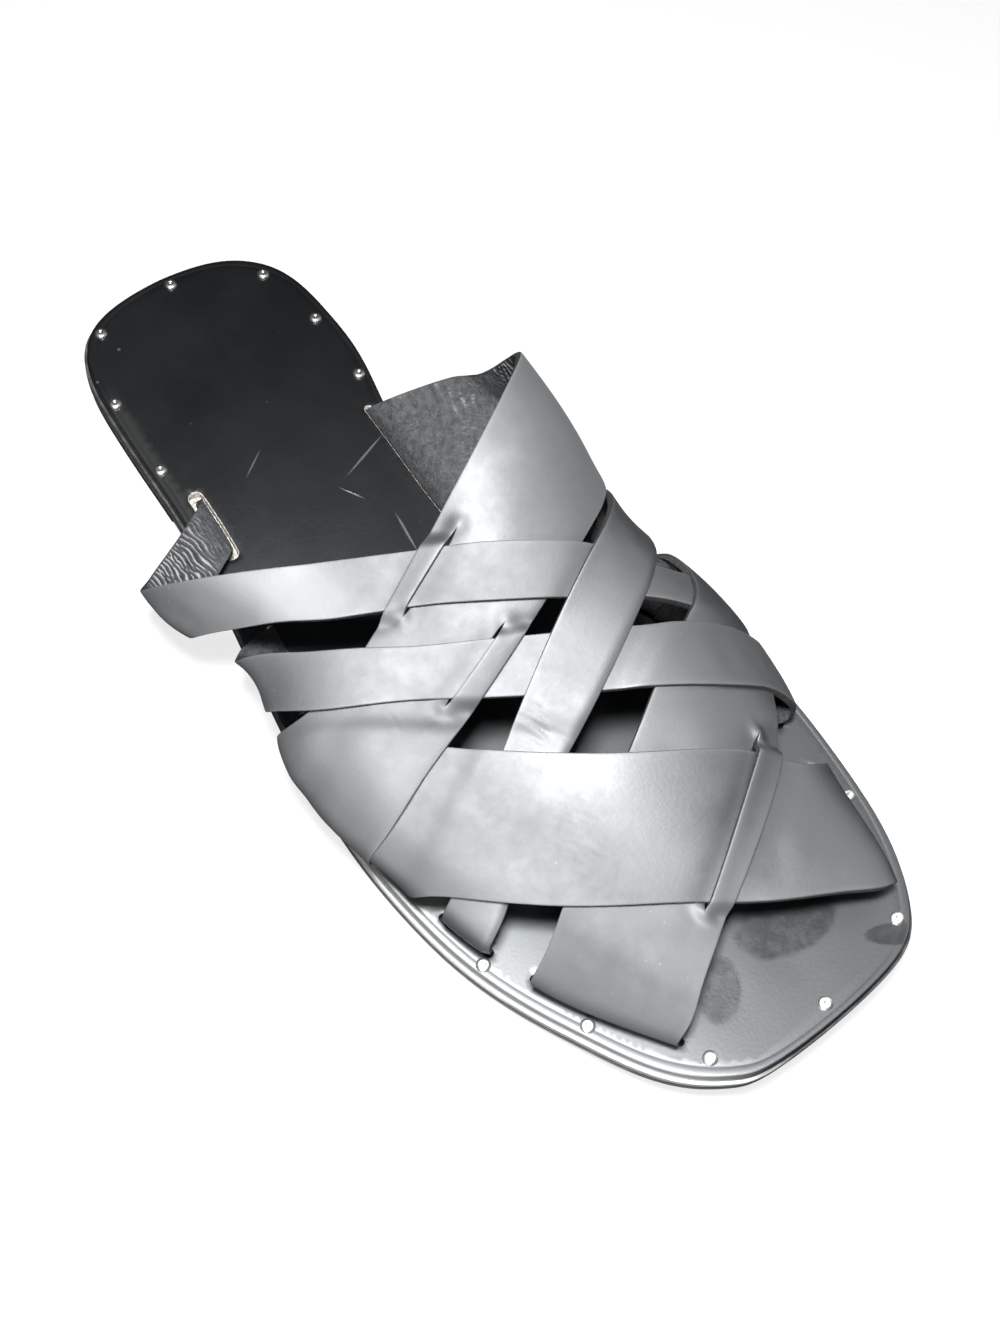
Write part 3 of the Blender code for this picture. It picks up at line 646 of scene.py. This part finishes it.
def weld(piece, distance=1e-7):
    work = bmesh.new()
    work.from_mesh(piece.data)
    bmesh.ops.remove_doubles(work, verts=work.verts, dist=distance)
    bmesh.ops.dissolve_degenerate(work, edges=work.edges, dist=1e-8)
    work.to_mesh(piece.data)
    work.free()
    piece.data.set_sharp_from_angle(angle=math.radians(sharpFrom))
    return piece


# sole pieces
count = sole["stations"]
stations = sole["length"] * (1 - np.cos(np.pi * np.arange(count + 1) / count)) / 2   # closer at the ends


def soleSides(inset, stations):
    # the sole's inner and outer edges as rows of (across, along), this far inside its outline
    widths = soleWidths(soleAngle(stations))
    middle = (widths[:, 1] - widths[:, 0]) / 2
    half = np.maximum((widths[:, 1] + widths[:, 0]) / 2 - inset, sole["leastHalf"])
    along = inset + stations * (1 - 2 * inset / sole["length"])
    return np.stack((middle - half, along), 1), np.stack((middle + half, along), 1)


def ringFaces(low, high, count):
    # the faces between two rings of points, which start at low and high
    k = np.arange(count)
    n = np.roll(k, -1)
    return np.stack((low + n, low + k, high + k, high + n), 1)


def slab(name, levels, stations, materials, kinds):
    # a closed slab from rings at growing height; each level is (inset, height above the ground)
    points, faces = [], []
    rows = len(stations)
    size = 2 * rows
    for inset, height in levels:
        inner, outer = soleSides(inset, stations)
        ring = np.concatenate((inner, outer[::-1]))
        points.append(np.column_stack((ring, height(ring[:, 1]))))
    for level in range(len(levels) - 1):
        faces.append(ringFaces(level * size, (level + 1) * size, size))
    i = np.arange(rows - 1)
    cap = np.stack((i, i + 1, size - 2 - i, size - 1 - i), 1)
    faces += [cap, cap[:, ::-1] + (len(levels) - 1) * size]
    kind = np.repeat(kinds[:len(levels) - 1] + kinds[-2:], [len(part) for part in faces])
    piece = meshPiece(name, np.concatenate(points), np.concatenate(faces), materials, kind)
    return weld(piece, distance=1e-6)


def above(extra):
    return lambda along: soleUnderside(along) + extra


slotTable = (   # side, start, end, straps in it
    ("inner", 67, 114, 1), ("inner", 115, 138, 1), ("inner", 139.2, 183, 2), ("inner", 184.2, 200, 1),
    ("inner", 211, 244, 1), ("outer", 67, 85, 1), ("outer", 107, 125, 1), ("outer", 131, 181, 2),
    ("outer", 189, 203, 1), ("outer", 212, 243, 1),
)
slot = {
    "play": 0.1, "hidden": 0.9,   # the straps hide the ends of the slots
    "heelPlay": 0.95, "heelStart": 90,   # but not those of the rearmost outer one
    "depth": 2.2, "spacing": 1.6, "clear": 0.8,
    "lip": ((0.0, 0.2), (0.06, 0.06), (0.18, 0.0)),   # outwards, down
}
footbedRim = (   # inwards from the footbed's edge, height from its top
    (-0.25, -2.52), (0, -2.3), (0, -0.55), (0.07, -0.26), (0.22, -0.07), (0.5, 0), (1.5, 0),
    (1.66, -0.06), (1.85, 0),
)
# where the heel, the ball of the foot and the toes press: across, along, half lengths, depth
presses = (
    (1, 36, 17, 22, 0.35), (-12, 178, 28, 18, 0.3), (-33, 238, 8, 9, 0.1), (-12, 243, 5.5, 6, 0.1),
    (6, 240, 5, 5.5, 0.1),
)


bed = {
    "netAcross": (-62, 54), "netAlong": (2, 259), "slotFade": 3, "rimFade": 6, "hills": 0.02, "hillSize": 9,
}
# layers of wear and of painted highlight: strength and limits, each limit measured how, where it starts,
# where it is full
bedWearAndSheen = {
    # a paler band outside the nails on the heel's outer side
    "band": ((1.0, (("inwards", 4.4, 3.5), ("across", 18, 26), ("along", 24, 36), ("along", 80, 72))),),
    # the toe's outer side is painted pale as a highlight, most of all along its rim
    "paleSheen": ((0.35, (("inwards", 16, 4), ("across", 6, 28), ("along", 150, 180))),
             (0.65, (("inwards", 1.6, 0.4), ("across", 6, 28), ("along", 150, 180)))),
}


def slotRing(side, start, end, straps, grow):
    # the slot's outline with round ends, this far outside its wall
    column = 0 if side == "inner" else 9
    heelSlot = side == "outer" and start < slot["heelStart"]
    play = slot["heelPlay" if heelSlot else "play"]
    if not heelSlot:
        start, end = start + slot["hidden"], end - slot["hidden"]
    half = strap["thick"] / 2 + play + (strap["thick"] / 2 if straps > 1 else 0.0)
    steps = max(int((end - start) / slot["spacing"]), 6)
    along = np.linspace(start, end, steps + 1)
    middle = lastRow(along)[:, column]
    slant = (lastRow(along + 0.5) - lastRow(along - 0.5))[:, column]
    square = unit(np.stack((np.ones_like(slant), -slant), 1))
    line = np.stack((middle, along), 1)
    radius = half + grow
    left = line - square * radius
    right = line + square * radius
    way = square[:, ::-1] * (-1, 1)
    turns = np.radians(np.arange(30, 180, 30))[:, None]
    head = line[-1] + radius * (-np.cos(turns) * square[-1] + np.sin(turns) * way[-1])
    tail = line[0] + radius * (np.cos(turns) * square[0] - np.sin(turns) * way[0])
    return np.concatenate((left, head, right[::-1], tail))


def bedRelief(x, y):
    relief = bed["hills"] * latticeNoise(x / bed["hillSize"] + 5, y / bed["hillSize"], 3)
    for px, py, sx, sy, depth in presses:
        relief = relief - depth * np.exp(-((x - px) / sx) ** 2 - ((y - py) / sy) ** 2)
    return relief


def distanceTo(ring, spots):
    # how far each spot is from the nearest point of a ring
    parts = np.array_split(spots, 40)
    return np.concatenate([np.linalg.norm(part[:, None] - ring[None], axis=2).min(1) for part in parts])


def insideRing(spots, ring):
    # which spots lie inside a closed ring
    x, y = spots[:, 0][:, None], spots[:, 1][:, None]
    a, b = ring, np.roll(ring, -1, 0)
    crosses = (a[:, 1] > y) != (b[:, 1] > y)
    rise = np.where(b[:, 1] == a[:, 1], 1e-12, b[:, 1] - a[:, 1])
    meet = a[:, 0] + (y - a[:, 1]) / rise * (b[:, 0] - a[:, 0])
    return (crosses & (x < meet)).sum(1) % 2 == 1


def footbedNet(rim, holes):
    # the top is one net between the rim's last ring and the slots, with points inside it to carry the wear
    corners, links = [], []
    for ring in [rim] + holes:
        count = len(ring)
        links += [(len(corners) + k, len(corners) + (k + 1) % count) for k in range(count)]
        corners += [Vector(p) for p in ring]
    step = slot["spacing"]
    gridX, gridY = np.meshgrid(np.arange(*bed["netAcross"], step), np.arange(*bed["netAlong"], step))
    gridX = gridX + 0.5 * step * (np.arange(len(gridX)) % 2)[:, None]
    free = np.stack((gridX.ravel(), gridY.ravel()), 1)
    widths = soleWidths(soleAngle(free[:, 1]))
    reach = sole["footbedInset"] + footbedRim[-1][0] + slot["clear"]
    inside = (free[:, 0] > reach - widths[:, 0]) & (free[:, 0] < widths[:, 1] - reach)
    inside &= (free[:, 1] > reach + 1) & (free[:, 1] < sole["length"] - reach - 1)
    for hole in holes:
        inside &= (distanceTo(hole, free) > slot["clear"]) & ~insideRing(free, hole)
    corners += [Vector(p) for p in free[inside]]
    flat, _, triangles, _, _, _ = delaunay_2d_cdt(corners, links, [], 0, 1e-5)
    spots = np.array([tuple(p) for p in flat])
    middle = np.array([spots[list(t)].mean(0) for t in triangles])
    keep = insideRing(middle, rim)
    for hole in holes:
        keep &= ~insideRing(middle, hole)
    return spots, np.array(triangles)[keep]


def makeFootbed(materials):
    points, faces, kinds = [], [], []

    def addFaces(more, kind=0):
        faces.extend(more)
        kinds.extend([kind] * len(more))

    def addRing(ring, drop):
        points.extend(np.column_stack((ring, footbedTop(ring[:, 1]) + drop)).tolist())
        return len(points) - len(ring)

    rings = []
    for inset, drop in footbedRim:
        inner, outer = soleSides(sole["footbedInset"] + inset, stations)
        rings.append(np.concatenate((inner, outer[-2:0:-1])))
        addRing(rings[-1], drop)
    size = len(rings[0])
    for level in range(len(rings) - 1):
        addFaces(ringFaces(level * size, (level + 1) * size, size))
    underside = [(k, k + 1, size - k - 1, size - k) for k in range(1, size // 2)]
    addFaces([(0, 1, size - 1)] + underside)

    rim = rings[-1]
    slotLips = [[slotRing(*row, grow) for grow, _ in slot["lip"]] for row in slotTable]
    holes = [lips[-1] for lips in slotLips]
    spots, triangles = footbedNet(rim, holes)
    near = np.min([distanceTo(hole, spots) for hole in holes], 0)
    fade = ease(near / bed["slotFade"]) * ease(distanceTo(rim, spots) / bed["rimFade"])
    base = addRing(spots, fade * bedRelief(spots[:, 0], spots[:, 1]))
    addFaces(base + triangles)

    for lips in slotLips:
        count = len(lips[0])
        marks = [addRing(ring, -drop) for (_, drop), ring in list(zip(slot["lip"], lips))[::-1]]
        marks.append(addRing(lips[0], -slot["depth"]))
        for low, high in zip(marks, marks[1:]):
            addFaces(ringFaces(low, high, count), 1)
        addFaces([range(marks[-1], marks[-1] + count)], 1)
    piece = meshPiece("footbedLayer", points, faces, materials, kinds)
    flat = np.array(points)[:, :2]
    where = {"inwards": distanceTo(rings[0], flat), "across": flat[:, 0], "along": flat[:, 1]}
    for key, layers in bedWearAndSheen.items():
        addAttribute(piece, key, sum(
            share * math.prod(ramp(where[how], start, full) for how, start, full in limits)
            for share, limits in layers))
    return weld(piece, distance=2e-6)


print("shapes ready")


# shader expressions
class Wire:
    # a value in a material's tree; arithmetic on it adds Math nodes
    def __init__(self, finish, socket):
        self.finish = finish
        self.socket = socket

    def math(self, operation, *terms):
        return self.finish.node("Math", dict(enumerate(terms)), operation=operation)

    def __add__(self, other):
        return self.math("ADD", self, other)

    def __sub__(self, other):
        return self.math("SUBTRACT", self, other)

    def __rsub__(self, other):
        return self.math("SUBTRACT", other, self)

    def __mul__(self, other):
        return self.math("MULTIPLY", self, other)

    __radd__ = __add__
    __rmul__ = __mul__

    def between(self, low, high):
        # 0 at low, 1 at high, smooth; low may lie above high
        if low > high:
            return 1 - self.between(high, low)
        sockets = {"Value": self, 1: low, 2: high}
        return self.finish.node("MapRange", sockets, interpolation_type="SMOOTHSTEP")


class Finish:
    # a material being made: its fixed values go straight onto the shader
    def __init__(self, name, **fixed):
        self.material = bpy.data.materials.new(name)
        self.material.use_nodes = True
        self.tree = self.material.node_tree
        self.shader = self.tree.nodes["Principled BSDF"]
        for socket, value in fixed.items():
            self.feed(self.shader.inputs[socket.replace("_", " ")], value)

    def feed(self, socket, value):
        if isinstance(value, Wire):
            self.tree.links.new(value.socket, socket)
        elif isinstance(value, tuple) and len(value) == 3 and socket.type == "RGBA":
            socket.default_value = (*value, 1.0)
        else:
            socket.default_value = value

    def node(self, kind, sockets, out=0, **settings):
        made = self.tree.nodes.new("ShaderNode" + kind)
        for key, value in settings.items():
            setattr(made, key, value)
        for key, value in sockets.items():
            self.feed(made.inputs[key], value)
        return Wire(self, made.outputs[out])

    def spot(self):
        return self.node("TexCoord", {}, "Object")

    def place(self, size, stretch=(1.0, 1.0, 1.0)):
        # object coordinates in steps of size metres
        return self.node("Mapping", {"Vector": self.spot(), "Scale": tuple(s / size for s in stretch)})

    def noise(self, size, detail=2.0, rough=0.5, **where):
        sockets = {"Vector": self.place(size, **where), "Scale": 1.0, "Detail": detail, "Roughness": rough}
        return self.node("TexNoise", sockets)

    def cells(self, size, feature="F1"):
        return self.node("TexVoronoi", {"Vector": self.place(size), "Scale": 1.0}, feature=feature)

    def axis(self, name):
        return self.node("SeparateXYZ", {0: self.spot()}, name)

    def patch(self, middle, reach, turn, ragged=0.3, soft=0.12):
        # a ragged oval on the sole: its middle and half lengths in metres, its turn in degrees
        sockets = {"Vector": self.spot(), "Location": (*middle, 0.0), "Scale": (*reach, 1.0),
                   "Rotation": (0.0, 0.0, math.radians(turn))}
        fitted = self.node("Mapping", sockets, vector_type="TEXTURE")
        away = self.node("VectorMath", {0: fitted}, "Value", operation="LENGTH")
        return (away + ragged * (self.noise(0.005, 3.0) - 0.5)).between(1 + soft, 1 - soft)

    def patches(self, rows, **look):
        # the strongest of several patches
        whole = self.patch(*rows[0], **look)
        for row in rows[1:]:
            whole = whole.math("MAXIMUM", whole, self.patch(*row, **look))
        return whole

    def attribute(self, name):
        return self.node("Attribute", {}, "Fac", attribute_name=name)

    def mix(self, share, one, other):
        return self.node("Mix", {0: share, 6: one, 7: other}, 2, data_type="RGBA")

    def coats(self, tone, *layers):
        # coats of colour one over another, each (how much covers, colour)
        for share, colour in layers:
            tone = self.mix(share, tone, colour)
        return tone

    def show(self, colour, roughness, height, depth):
        bump = self.node("Bump", {"Height": height, "Distance": depth, "Strength": 1.0})
        for socket, value in (("Base Color", colour), ("Roughness", roughness), ("Normal", bump)):
            self.feed(self.shader.inputs[socket], value)
        return self.material


# finishes: colours, grain sizes and bump depths in metres
topLook = {
    "pores": 0.0006, "grain": 0.0012, "cloud": 0.018, "polish": 0.004, "speck": 0.0045, "bump": 0.00003,
    # the paler sheen colour here paints sheen on the strap tops
    "dye": ((0.003, 0.0036, 0.0048), (0.006, 0.0072, 0.0092)), "paintedSheen": (0.12, 0.121, 0.12),
    # the rim colour here is edge wear and a painted highlight along the strap edges
    "scuff": (0.03, 0.031, 0.033), "rim": (0.05, 0.05, 0.053), "dust": (0.16, 0.16, 0.155),
}


def strapLeather():
    look = topLook
    f = Finish("strapLeather", IOR=1.8, Specular_IOR_Level=1.0, Specular_Tint=(0.95, 0.98, 1.0, 1.0))
    grain = f.noise(look["grain"], 4.0, 0.6)
    cloud = f.noise(look["cloud"], 3.0)
    polish = f.noise(look["polish"], 5.0, 0.65)
    scuff = f.noise(0.005, 6.0, 0.7).between(0.6, 0.75)
    dust = f.cells(look["speck"]).between(0.055, 0.03) * f.noise(0.015, 2.0).between(0.48, 0.6)
    # the pale attribute paints sheen as a paler tone, broken up by the polish noise
    paintedSheen = f.attribute("paleSheen") * (0.7 + 0.6 * (polish - 0.5))
    # the rim attribute paints edge wear and a highlight along the edges
    tone = f.coats(f.mix(cloud.between(0.3, 0.75), *look["dye"]), (paintedSheen, look["paintedSheen"]),
                   (scuff * 0.3, look["scuff"]), (f.attribute("rim") * 0.6, look["rim"]),
                   (dust * 0.5, look["dust"]))
    rough = f.attribute("dull") + 0.11 * cloud + 0.14 * polish + 0.03 * grain - 0.05
    return f.show(tone, rough, f.cells(look["pores"], "SMOOTH_F1") * 0.4 + grain, look["bump"])


def cutEdge():
    f = Finish("cutEdge")
    fibre = f.noise(0.0007, 4.0, 0.7, stretch=(1.0, 1.0, 2.5))
    tone = f.mix(fibre.between(0.3, 0.7), (0.005, 0.005, 0.0054), (0.035, 0.035, 0.036))
    return f.show(tone, 0.6 + 0.2 * fibre, fibre, 0.0002)


fleshLook = {
    "nap": 0.0007, "blotch": 0.002, "bump": 0.00025, "suede": ((0.016, 0.017, 0.019), (0.045, 0.047, 0.051)),
    # shade is painted shade where the leather is gathered; crest and valley paint highlight and shade on the
    # folds
    "fibres": (0.085, 0.088, 0.092), "shade": (0.008, 0.008, 0.009), "crest": (0.26, 0.27, 0.28),
    "valley": (0.004, 0.004, 0.005),
}


def fleshSide():
    look = fleshLook
    f = Finish("fleshSide", Specular_IOR_Level=0.6)
    nap = f.noise(look["nap"], 5.0, 0.7)
    blotch = f.noise(look["blotch"], 4.0, 0.65)
    fold = f.attribute("fold")
    # gathered parts get painted shade, fold crests a painted highlight and fold valleys painted shade
    tone = f.coats(f.mix(blotch.between(0.35, 0.65), *look["suede"]),
                   (nap.between(0.5, 0.68) * 0.8, look["fibres"]),
                   (f.attribute("gather") * 0.65, look["shade"]),
                   (fold.between(0.15, 0.7) * 0.75, look["crest"]),
                   (fold.between(-0.05, -0.5) * 0.95, look["valley"]))
    return f.show(tone, 0.62 + 0.2 * nap, nap + 0.5 * blotch, look["bump"])


def slotWall():
    # where the rear slots are cut the leather shows its undyed core
    f = Finish("slotWall", Specular_IOR_Level=0.3)
    fibre = f.noise(0.0008, 4.0, 0.7)
    tone = f.mix(fibre.between(0.3, 0.7), (0.16, 0.145, 0.125), (0.48, 0.455, 0.42))
    return f.show(f.mix(f.axis("Y").between(0.08, 0.1), tone, (0.012, 0.012, 0.012)), 0.8, fibre, 0.0002)


bedLook = {
    "pores": 0.0006, "grain": 0.0009, "cloud": 0.025, "blotch": 0.003, "dustSize": 0.011, "bump": 0.00002,
    "dye": ((0.0015, 0.0017, 0.0021), (0.0034, 0.0037, 0.0042)), "band": (0.014, 0.0155, 0.014),
    # the pale colour here is a painted highlight on the toe's outer side
    "scratch": (0.05, 0.052, 0.05), "dust": (0.2, 0.2, 0.19), "paleSheen": (0.17, 0.175, 0.175),
    # marks listed one by one: middle, half lengths, turn
    "toePrints": (((-0.0175, 0.2012), (0.0125, 0.0078), -8), ((0.0055, 0.2038), (0.0078, 0.005), 47),
                  ((-0.0346, 0.2184), (0.0066, 0.0026), 148)),
    "scratches": (((-0.0135, 0.0442), (0.0069, 0.0003), 200), ((-0.0089, 0.0689), (0.0053, 0.0003), 81),
                  ((0.012, 0.031), (0.004, 0.0002), 35), ((-0.004, 0.052), (0.0032, 0.0002), 120)),
}


def footbedLeather():
    look = bedLook
    f = Finish("footbedLeather", IOR=1.65, Specular_IOR_Level=1.0, Specular_Tint=(0.93, 0.97, 1.0, 1.0))
    grain = f.noise(look["grain"], 4.0, 0.6)
    cloud = f.noise(look["cloud"], 4.0, 0.6)
    worn = f.axis("Y").between(0.07, 0.17)
    scratch = f.patches(look["scratches"], ragged=0.5, soft=0.4)
    dust = f.cells(look["dustSize"]).between(0.05, 0.03)
    prints = f.patches(look["toePrints"]) * (0.6 + 0.4 * f.noise(look["blotch"], 4.0, 0.65).between(0.3, 0.6))
    # the pale attribute paints a highlight on the toe's outer side and its rim
    tone = f.coats(f.mix(cloud.between(0.3, 0.75), *look["dye"]), (f.attribute("band") * 0.85, look["band"]),
                   (scratch * 0.6, look["scratch"]), (dust * 0.2, look["dust"]),
                   (f.attribute("paleSheen") * (0.8 - 0.5 * prints), look["paleSheen"]))
    rough = 0.25 + 0.18 * worn + 0.06 * cloud + 0.03 * grain - 0.13 * prints + 0.15 * scratch
    height = f.cells(look["pores"], "SMOOTH_F1") * 0.5 + grain - 1.5 * scratch
    return f.show(tone, rough, height, look["bump"])


def soleEdge(name, paintedSheenShare):
    f = Finish(name, Specular_IOR_Level=0.5)
    layers = f.noise(0.004, 4.0, 0.6, stretch=(1.0, 1.0, 12.0))
    # the pale mix paints a highlight on the outer front of the sole's edge, in full on the midsole and weaker
    # on the outsole
    paintedSheen = f.axis("Y").between(0.1, 0.15) * f.axis("X").between(0.0, 0.02) * (0.75 + 0.5 * (layers - 0.5))
    tone = f.mix(layers.between(0.35, 0.7), (0.02, 0.02, 0.022), (0.07, 0.07, 0.072))
    return f.show(f.mix(paintedSheen * paintedSheenShare, tone, (0.5, 0.5, 0.49)), 0.5 + 0.15 * layers, layers, 0.0003)


def soleUnder():
    f = Finish("soleUnder")
    grit = f.noise(0.0008, 5.0, 0.7)
    return f.show(f.mix(grit, (0.012, 0.012, 0.013), (0.035, 0.035, 0.036)), 0.7 + 0.15 * grit, grit, 0.0003)


def nailMetal():
    f = Finish("nailMetal", Metallic=1.0)
    wear = f.noise(0.0008, 4.0)
    tone = f.mix(wear.between(0.35, 0.7), (0.78, 0.78, 0.76), (0.5, 0.5, 0.49))
    # the nails are mixed to a darker grey towards the heel
    darkerAtHeel = f.axis("Y").between(0.1, 0.04)   # the heel's nails
    return f.show(f.mix(darkerAtHeel, tone, (0.3, 0.3, 0.29)), 0.34 + 0.2 * wear, wear, 0.00004)


strapFinishes = [strapLeather(), cutEdge(), fleshSide()]
midEdge = soleEdge("midsoleEdge", 1.0)
lowEdge = soleEdge("outsoleEdge", 0.3)
walking = soleUnder()
silver = nailMetal()
print("finishes ready")


def putOn(piece, slotName, *nodes):
    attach(piece, "root")
    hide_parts(*nodes)
    print(piece.name, len(piece.data.polygons), "faces")


for strapName in strapTables:
    putOn(makeStrap(strapName, strapFinishes), "strap_leather", "upper")

# sole
putOn(makeFootbed([footbedLeather(), slotWall()]), "footbed_leather", "footbed")
lowTop = sole["outsole"] + sole["gap"]
midsole = slab("midsoleLayer", [
    (0.4, above(lowTop - 0.1)), (0.1, above(lowTop + 0.15)), (0.1, above(lowTop + sole["midsole"] - 0.1)),
    (0.25, above(lowTop + sole["midsole"] + 0.06)),
], stations, [midEdge], [0, 0, 0, 0])
outsole = slab("outsoleLayer", [
    (0.5, above(0.0)), (0.12, above(0.18)), (0.0, above(0.5)), (0.0, above(sole["outsole"] - 0.15)),
    (0.2, above(sole["outsole"] + 0.1)),
], stations, [lowEdge, walking], [0, 0, 0, 1, 0])


def heelTop(along):
    return np.minimum(sole["heelLift"] + 0.1, soleUnderside(along) - 0.15)


heelLift = slab("heelBlock", [
    (0.6, lambda along: 0.0 * along), (0.2, lambda along: 0.0 * along + 0.3),
    (0.1, lambda along: heelTop(along) - 0.1), (0.2, heelTop),
], np.append(stations[stations < sole["heelEnd"] - 1], sole["heelEnd"]), [lowEdge, walking], [0, 0, 1, 0])
putOn(midsole, "midsole_leather", "midsole")
putOn(outsole, "sole_rubber", "outsole")
putOn(heelLift, "sole_rubber", "heel_lift")

# nails
nails = {
    "radius": 1.7, "rise": 0.8, "dimple": 0.45, "sink": 1.2, "sides": 28, "fullTurn": 6.283, "seed": 4,
    "places": (   # across, along
        (32.3, 55), (31, 31), (22.2, 9), (-2, 4.3), (-25, 14.5), (-28.3, 35), (-27.2, 57), (-45.5, 145),
        (-56.3, 169), (-57, 195.5), (-51.6, 222.7), (-37.8, 251.2), (-10.6, 255.3), (17.4, 248.8),
        (33.4, 227.7), (43, 203.6)),
}


def nailHead(material):
    r, h, d = nails["radius"], nails["rise"], nails["dimple"]
    profile = ((r * 0.55, -nails["sink"]), (r * 0.96, -0.1), (r, 0.12), (r * 0.97, 0.3), (r * 0.85, h * 0.68),
               (r * 0.62, h * 0.93), (d + 0.22, h), (d + 0.08, h * 0.93), (d * 0.75, h * 0.55))
    sides = nails["sides"]
    turns = np.arange(sides) * 2 * math.pi / sides
    work = bmesh.new()
    rings = [[work.verts.new((mm * out * math.cos(t), mm * out * math.sin(t), mm * up)) for t in turns]
             for out, up in profile]
    tip = work.verts.new((0, 0, mm * h * 0.45))
    base = work.verts.new((0, 0, -mm * nails["sink"]))
    for k in range(sides):
        n = (k + 1) % sides
        for low, high in zip(rings, rings[1:]):
            work.faces.new((low[k], low[n], high[n], high[k]))
        work.faces.new((rings[-1][k], rings[-1][n], tip))
        work.faces.new((rings[0][n], rings[0][k], base))
    mesh = bpy.data.meshes.new("nailHead")
    work.to_mesh(mesh)
    work.free()
    mesh.materials.append(material)
    mesh.shade_smooth()
    return addObject("nailHead", mesh)


def nailTree():
    # one nail on each point, turned by chance about its own axis and tipped by the point's slope
    tree = bpy.data.node_groups.new("nailsRoundTheRim", "GeometryNodeTree")
    sockets = {"Rim Points": "Geometry", "Nail": "Object", "Nail Size": "Float", "Turn Seed": "Int",
               "Metal": "Material"}
    for name, kind in sockets.items():
        tree.interface.new_socket(name=name, in_out="INPUT", socket_type="NodeSocket" + kind)
    tree.interface.new_socket(name="Nails", in_out="OUTPUT", socket_type="NodeSocketGeometry")
    given = tree.nodes.new("NodeGroupInput").outputs

    def add(kind, inputs, out=0):
        made = tree.nodes.new(kind)
        for key, value in inputs.items():
            if isinstance(value, bpy.types.NodeSocket):
                tree.links.new(value, made.inputs[key])
            else:
                made.inputs[key].default_value = value
        return made.outputs[out] if made.outputs else None

    slope = add("GeometryNodeInputNamedAttribute", {"Name": "slope"})
    chance = add("FunctionNodeRandomValue", {3: nails["fullTurn"], "Seed": given["Turn Seed"]}, 1)
    turn = add("ShaderNodeCombineXYZ", {"X": slope, "Z": chance})
    nail = add("GeometryNodeObjectInfo", {"Object": given["Nail"]}, "Geometry")
    spread = add("GeometryNodeInstanceOnPoints", {
        "Points": given["Rim Points"], "Instance": nail, "Rotation": turn, "Scale": given["Nail Size"]})
    real = add("GeometryNodeRealizeInstances", {0: spread})
    coated = add("GeometryNodeSetMaterial", {"Geometry": real, "Material": given["Metal"]})
    add("NodeGroupOutput", {0: coated})
    return tree


across, along = np.array(nails["places"], float).T
rim = meshPiece("nails", np.stack((across, along, footbedTop(along) + 0.1), 1), [], [silver])
addAttribute(rim, "slope", np.arctan(footbedTop(along + 0.5) - footbedTop(along - 0.5)))
head = nailHead(silver)
spreader = rim.modifiers.new("nails", "NODES")
spreader.node_group = nailTree()
inputs = {"Nail": head, "Nail Size": 1.0, "Turn Seed": nails["seed"], "Metal": silver}
for item in spreader.node_group.interface.items_tree:
    if item.in_out == "INPUT" and item.name in inputs:
        spreader[item.identifier] = inputs[item.name]
bpy.context.view_layer.update()
settled = bpy.data.meshes.new_from_object(rim.evaluated_get(bpy.context.evaluated_depsgraph_get()))
rim.modifiers.clear()
rim.data = settled
rim.data.shade_smooth()
bpy.data.objects.remove(head)
putOn(rim, "nail_metal", *[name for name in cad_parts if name.startswith("nail_")])

# floor, light and view
studio = {
    "floorSize": 8.0, "floorTone": 0.15, "floorGlow": 0.75,
    "skyTone": (0.85, 0.92, 1.0, 1.0), "skyLight": 0.015,
    "lights": {   # place and aim in metres, watts, width
        "key": ((0.08, 0.14, 0.45), (0, 0.11, 0.02), 6.3, 0.1),
        "side": ((0.30, 0.36, 0.17), (0, 0.13, 0.02), 1.3, 0.15),
        "fill": ((-0.36, 0.2, 0.24), (0, 0.11, 0.02), 0.5, 0.3),
    },
}


def addFloor():
    tone = (studio["floorTone"],) * 3
    f = Finish("paleFloor", Base_Color=tone, Roughness=0.9, Specular_IOR_Level=0.1,
               Emission_Color=(1.0, 1.0, 1.0), Emission_Strength=studio["floorGlow"])
    half = studio["floorSize"] / 2
    mesh = bpy.data.meshes.new("floor")
    corners = [(-half, -half), (half, -half), (half, half), (-half, half)]
    walls = [(k, (k + 1) % 4, (k + 1) % 4 + 4, k + 4) for k in range(4)]   # pale walls, far away
    mesh.from_pydata([(x, y, z) for z in (0, half) for x, y in corners], [], [(0, 1, 2, 3)] + walls)
    mesh.materials.append(f.material)
    floor = addObject("floor", mesh)
    floor.visible_glossy = False   # the floor's own glow stays off the leather
    floor.visible_diffuse = False


def addLight(name, place, target, power, size):
    lamp = bpy.data.lights.new(name, "AREA")
    lamp.energy = power
    lamp.size = size
    addObject(name, lamp).matrix_world = aimed(place, target)


addFloor()
for name, light in studio["lights"].items():
    addLight(name, *light)
world = bpy.data.worlds.new("studio")
world.use_nodes = True
glow = world.node_tree.nodes["Background"]
glow.inputs["Color"].default_value = studio["skyTone"]
glow.inputs["Strength"].default_value = studio["skyLight"]
bpy.context.scene.world = world
bpy.context.scene.view_settings.view_transform = "Standard"
addCamera(cameraSettings)
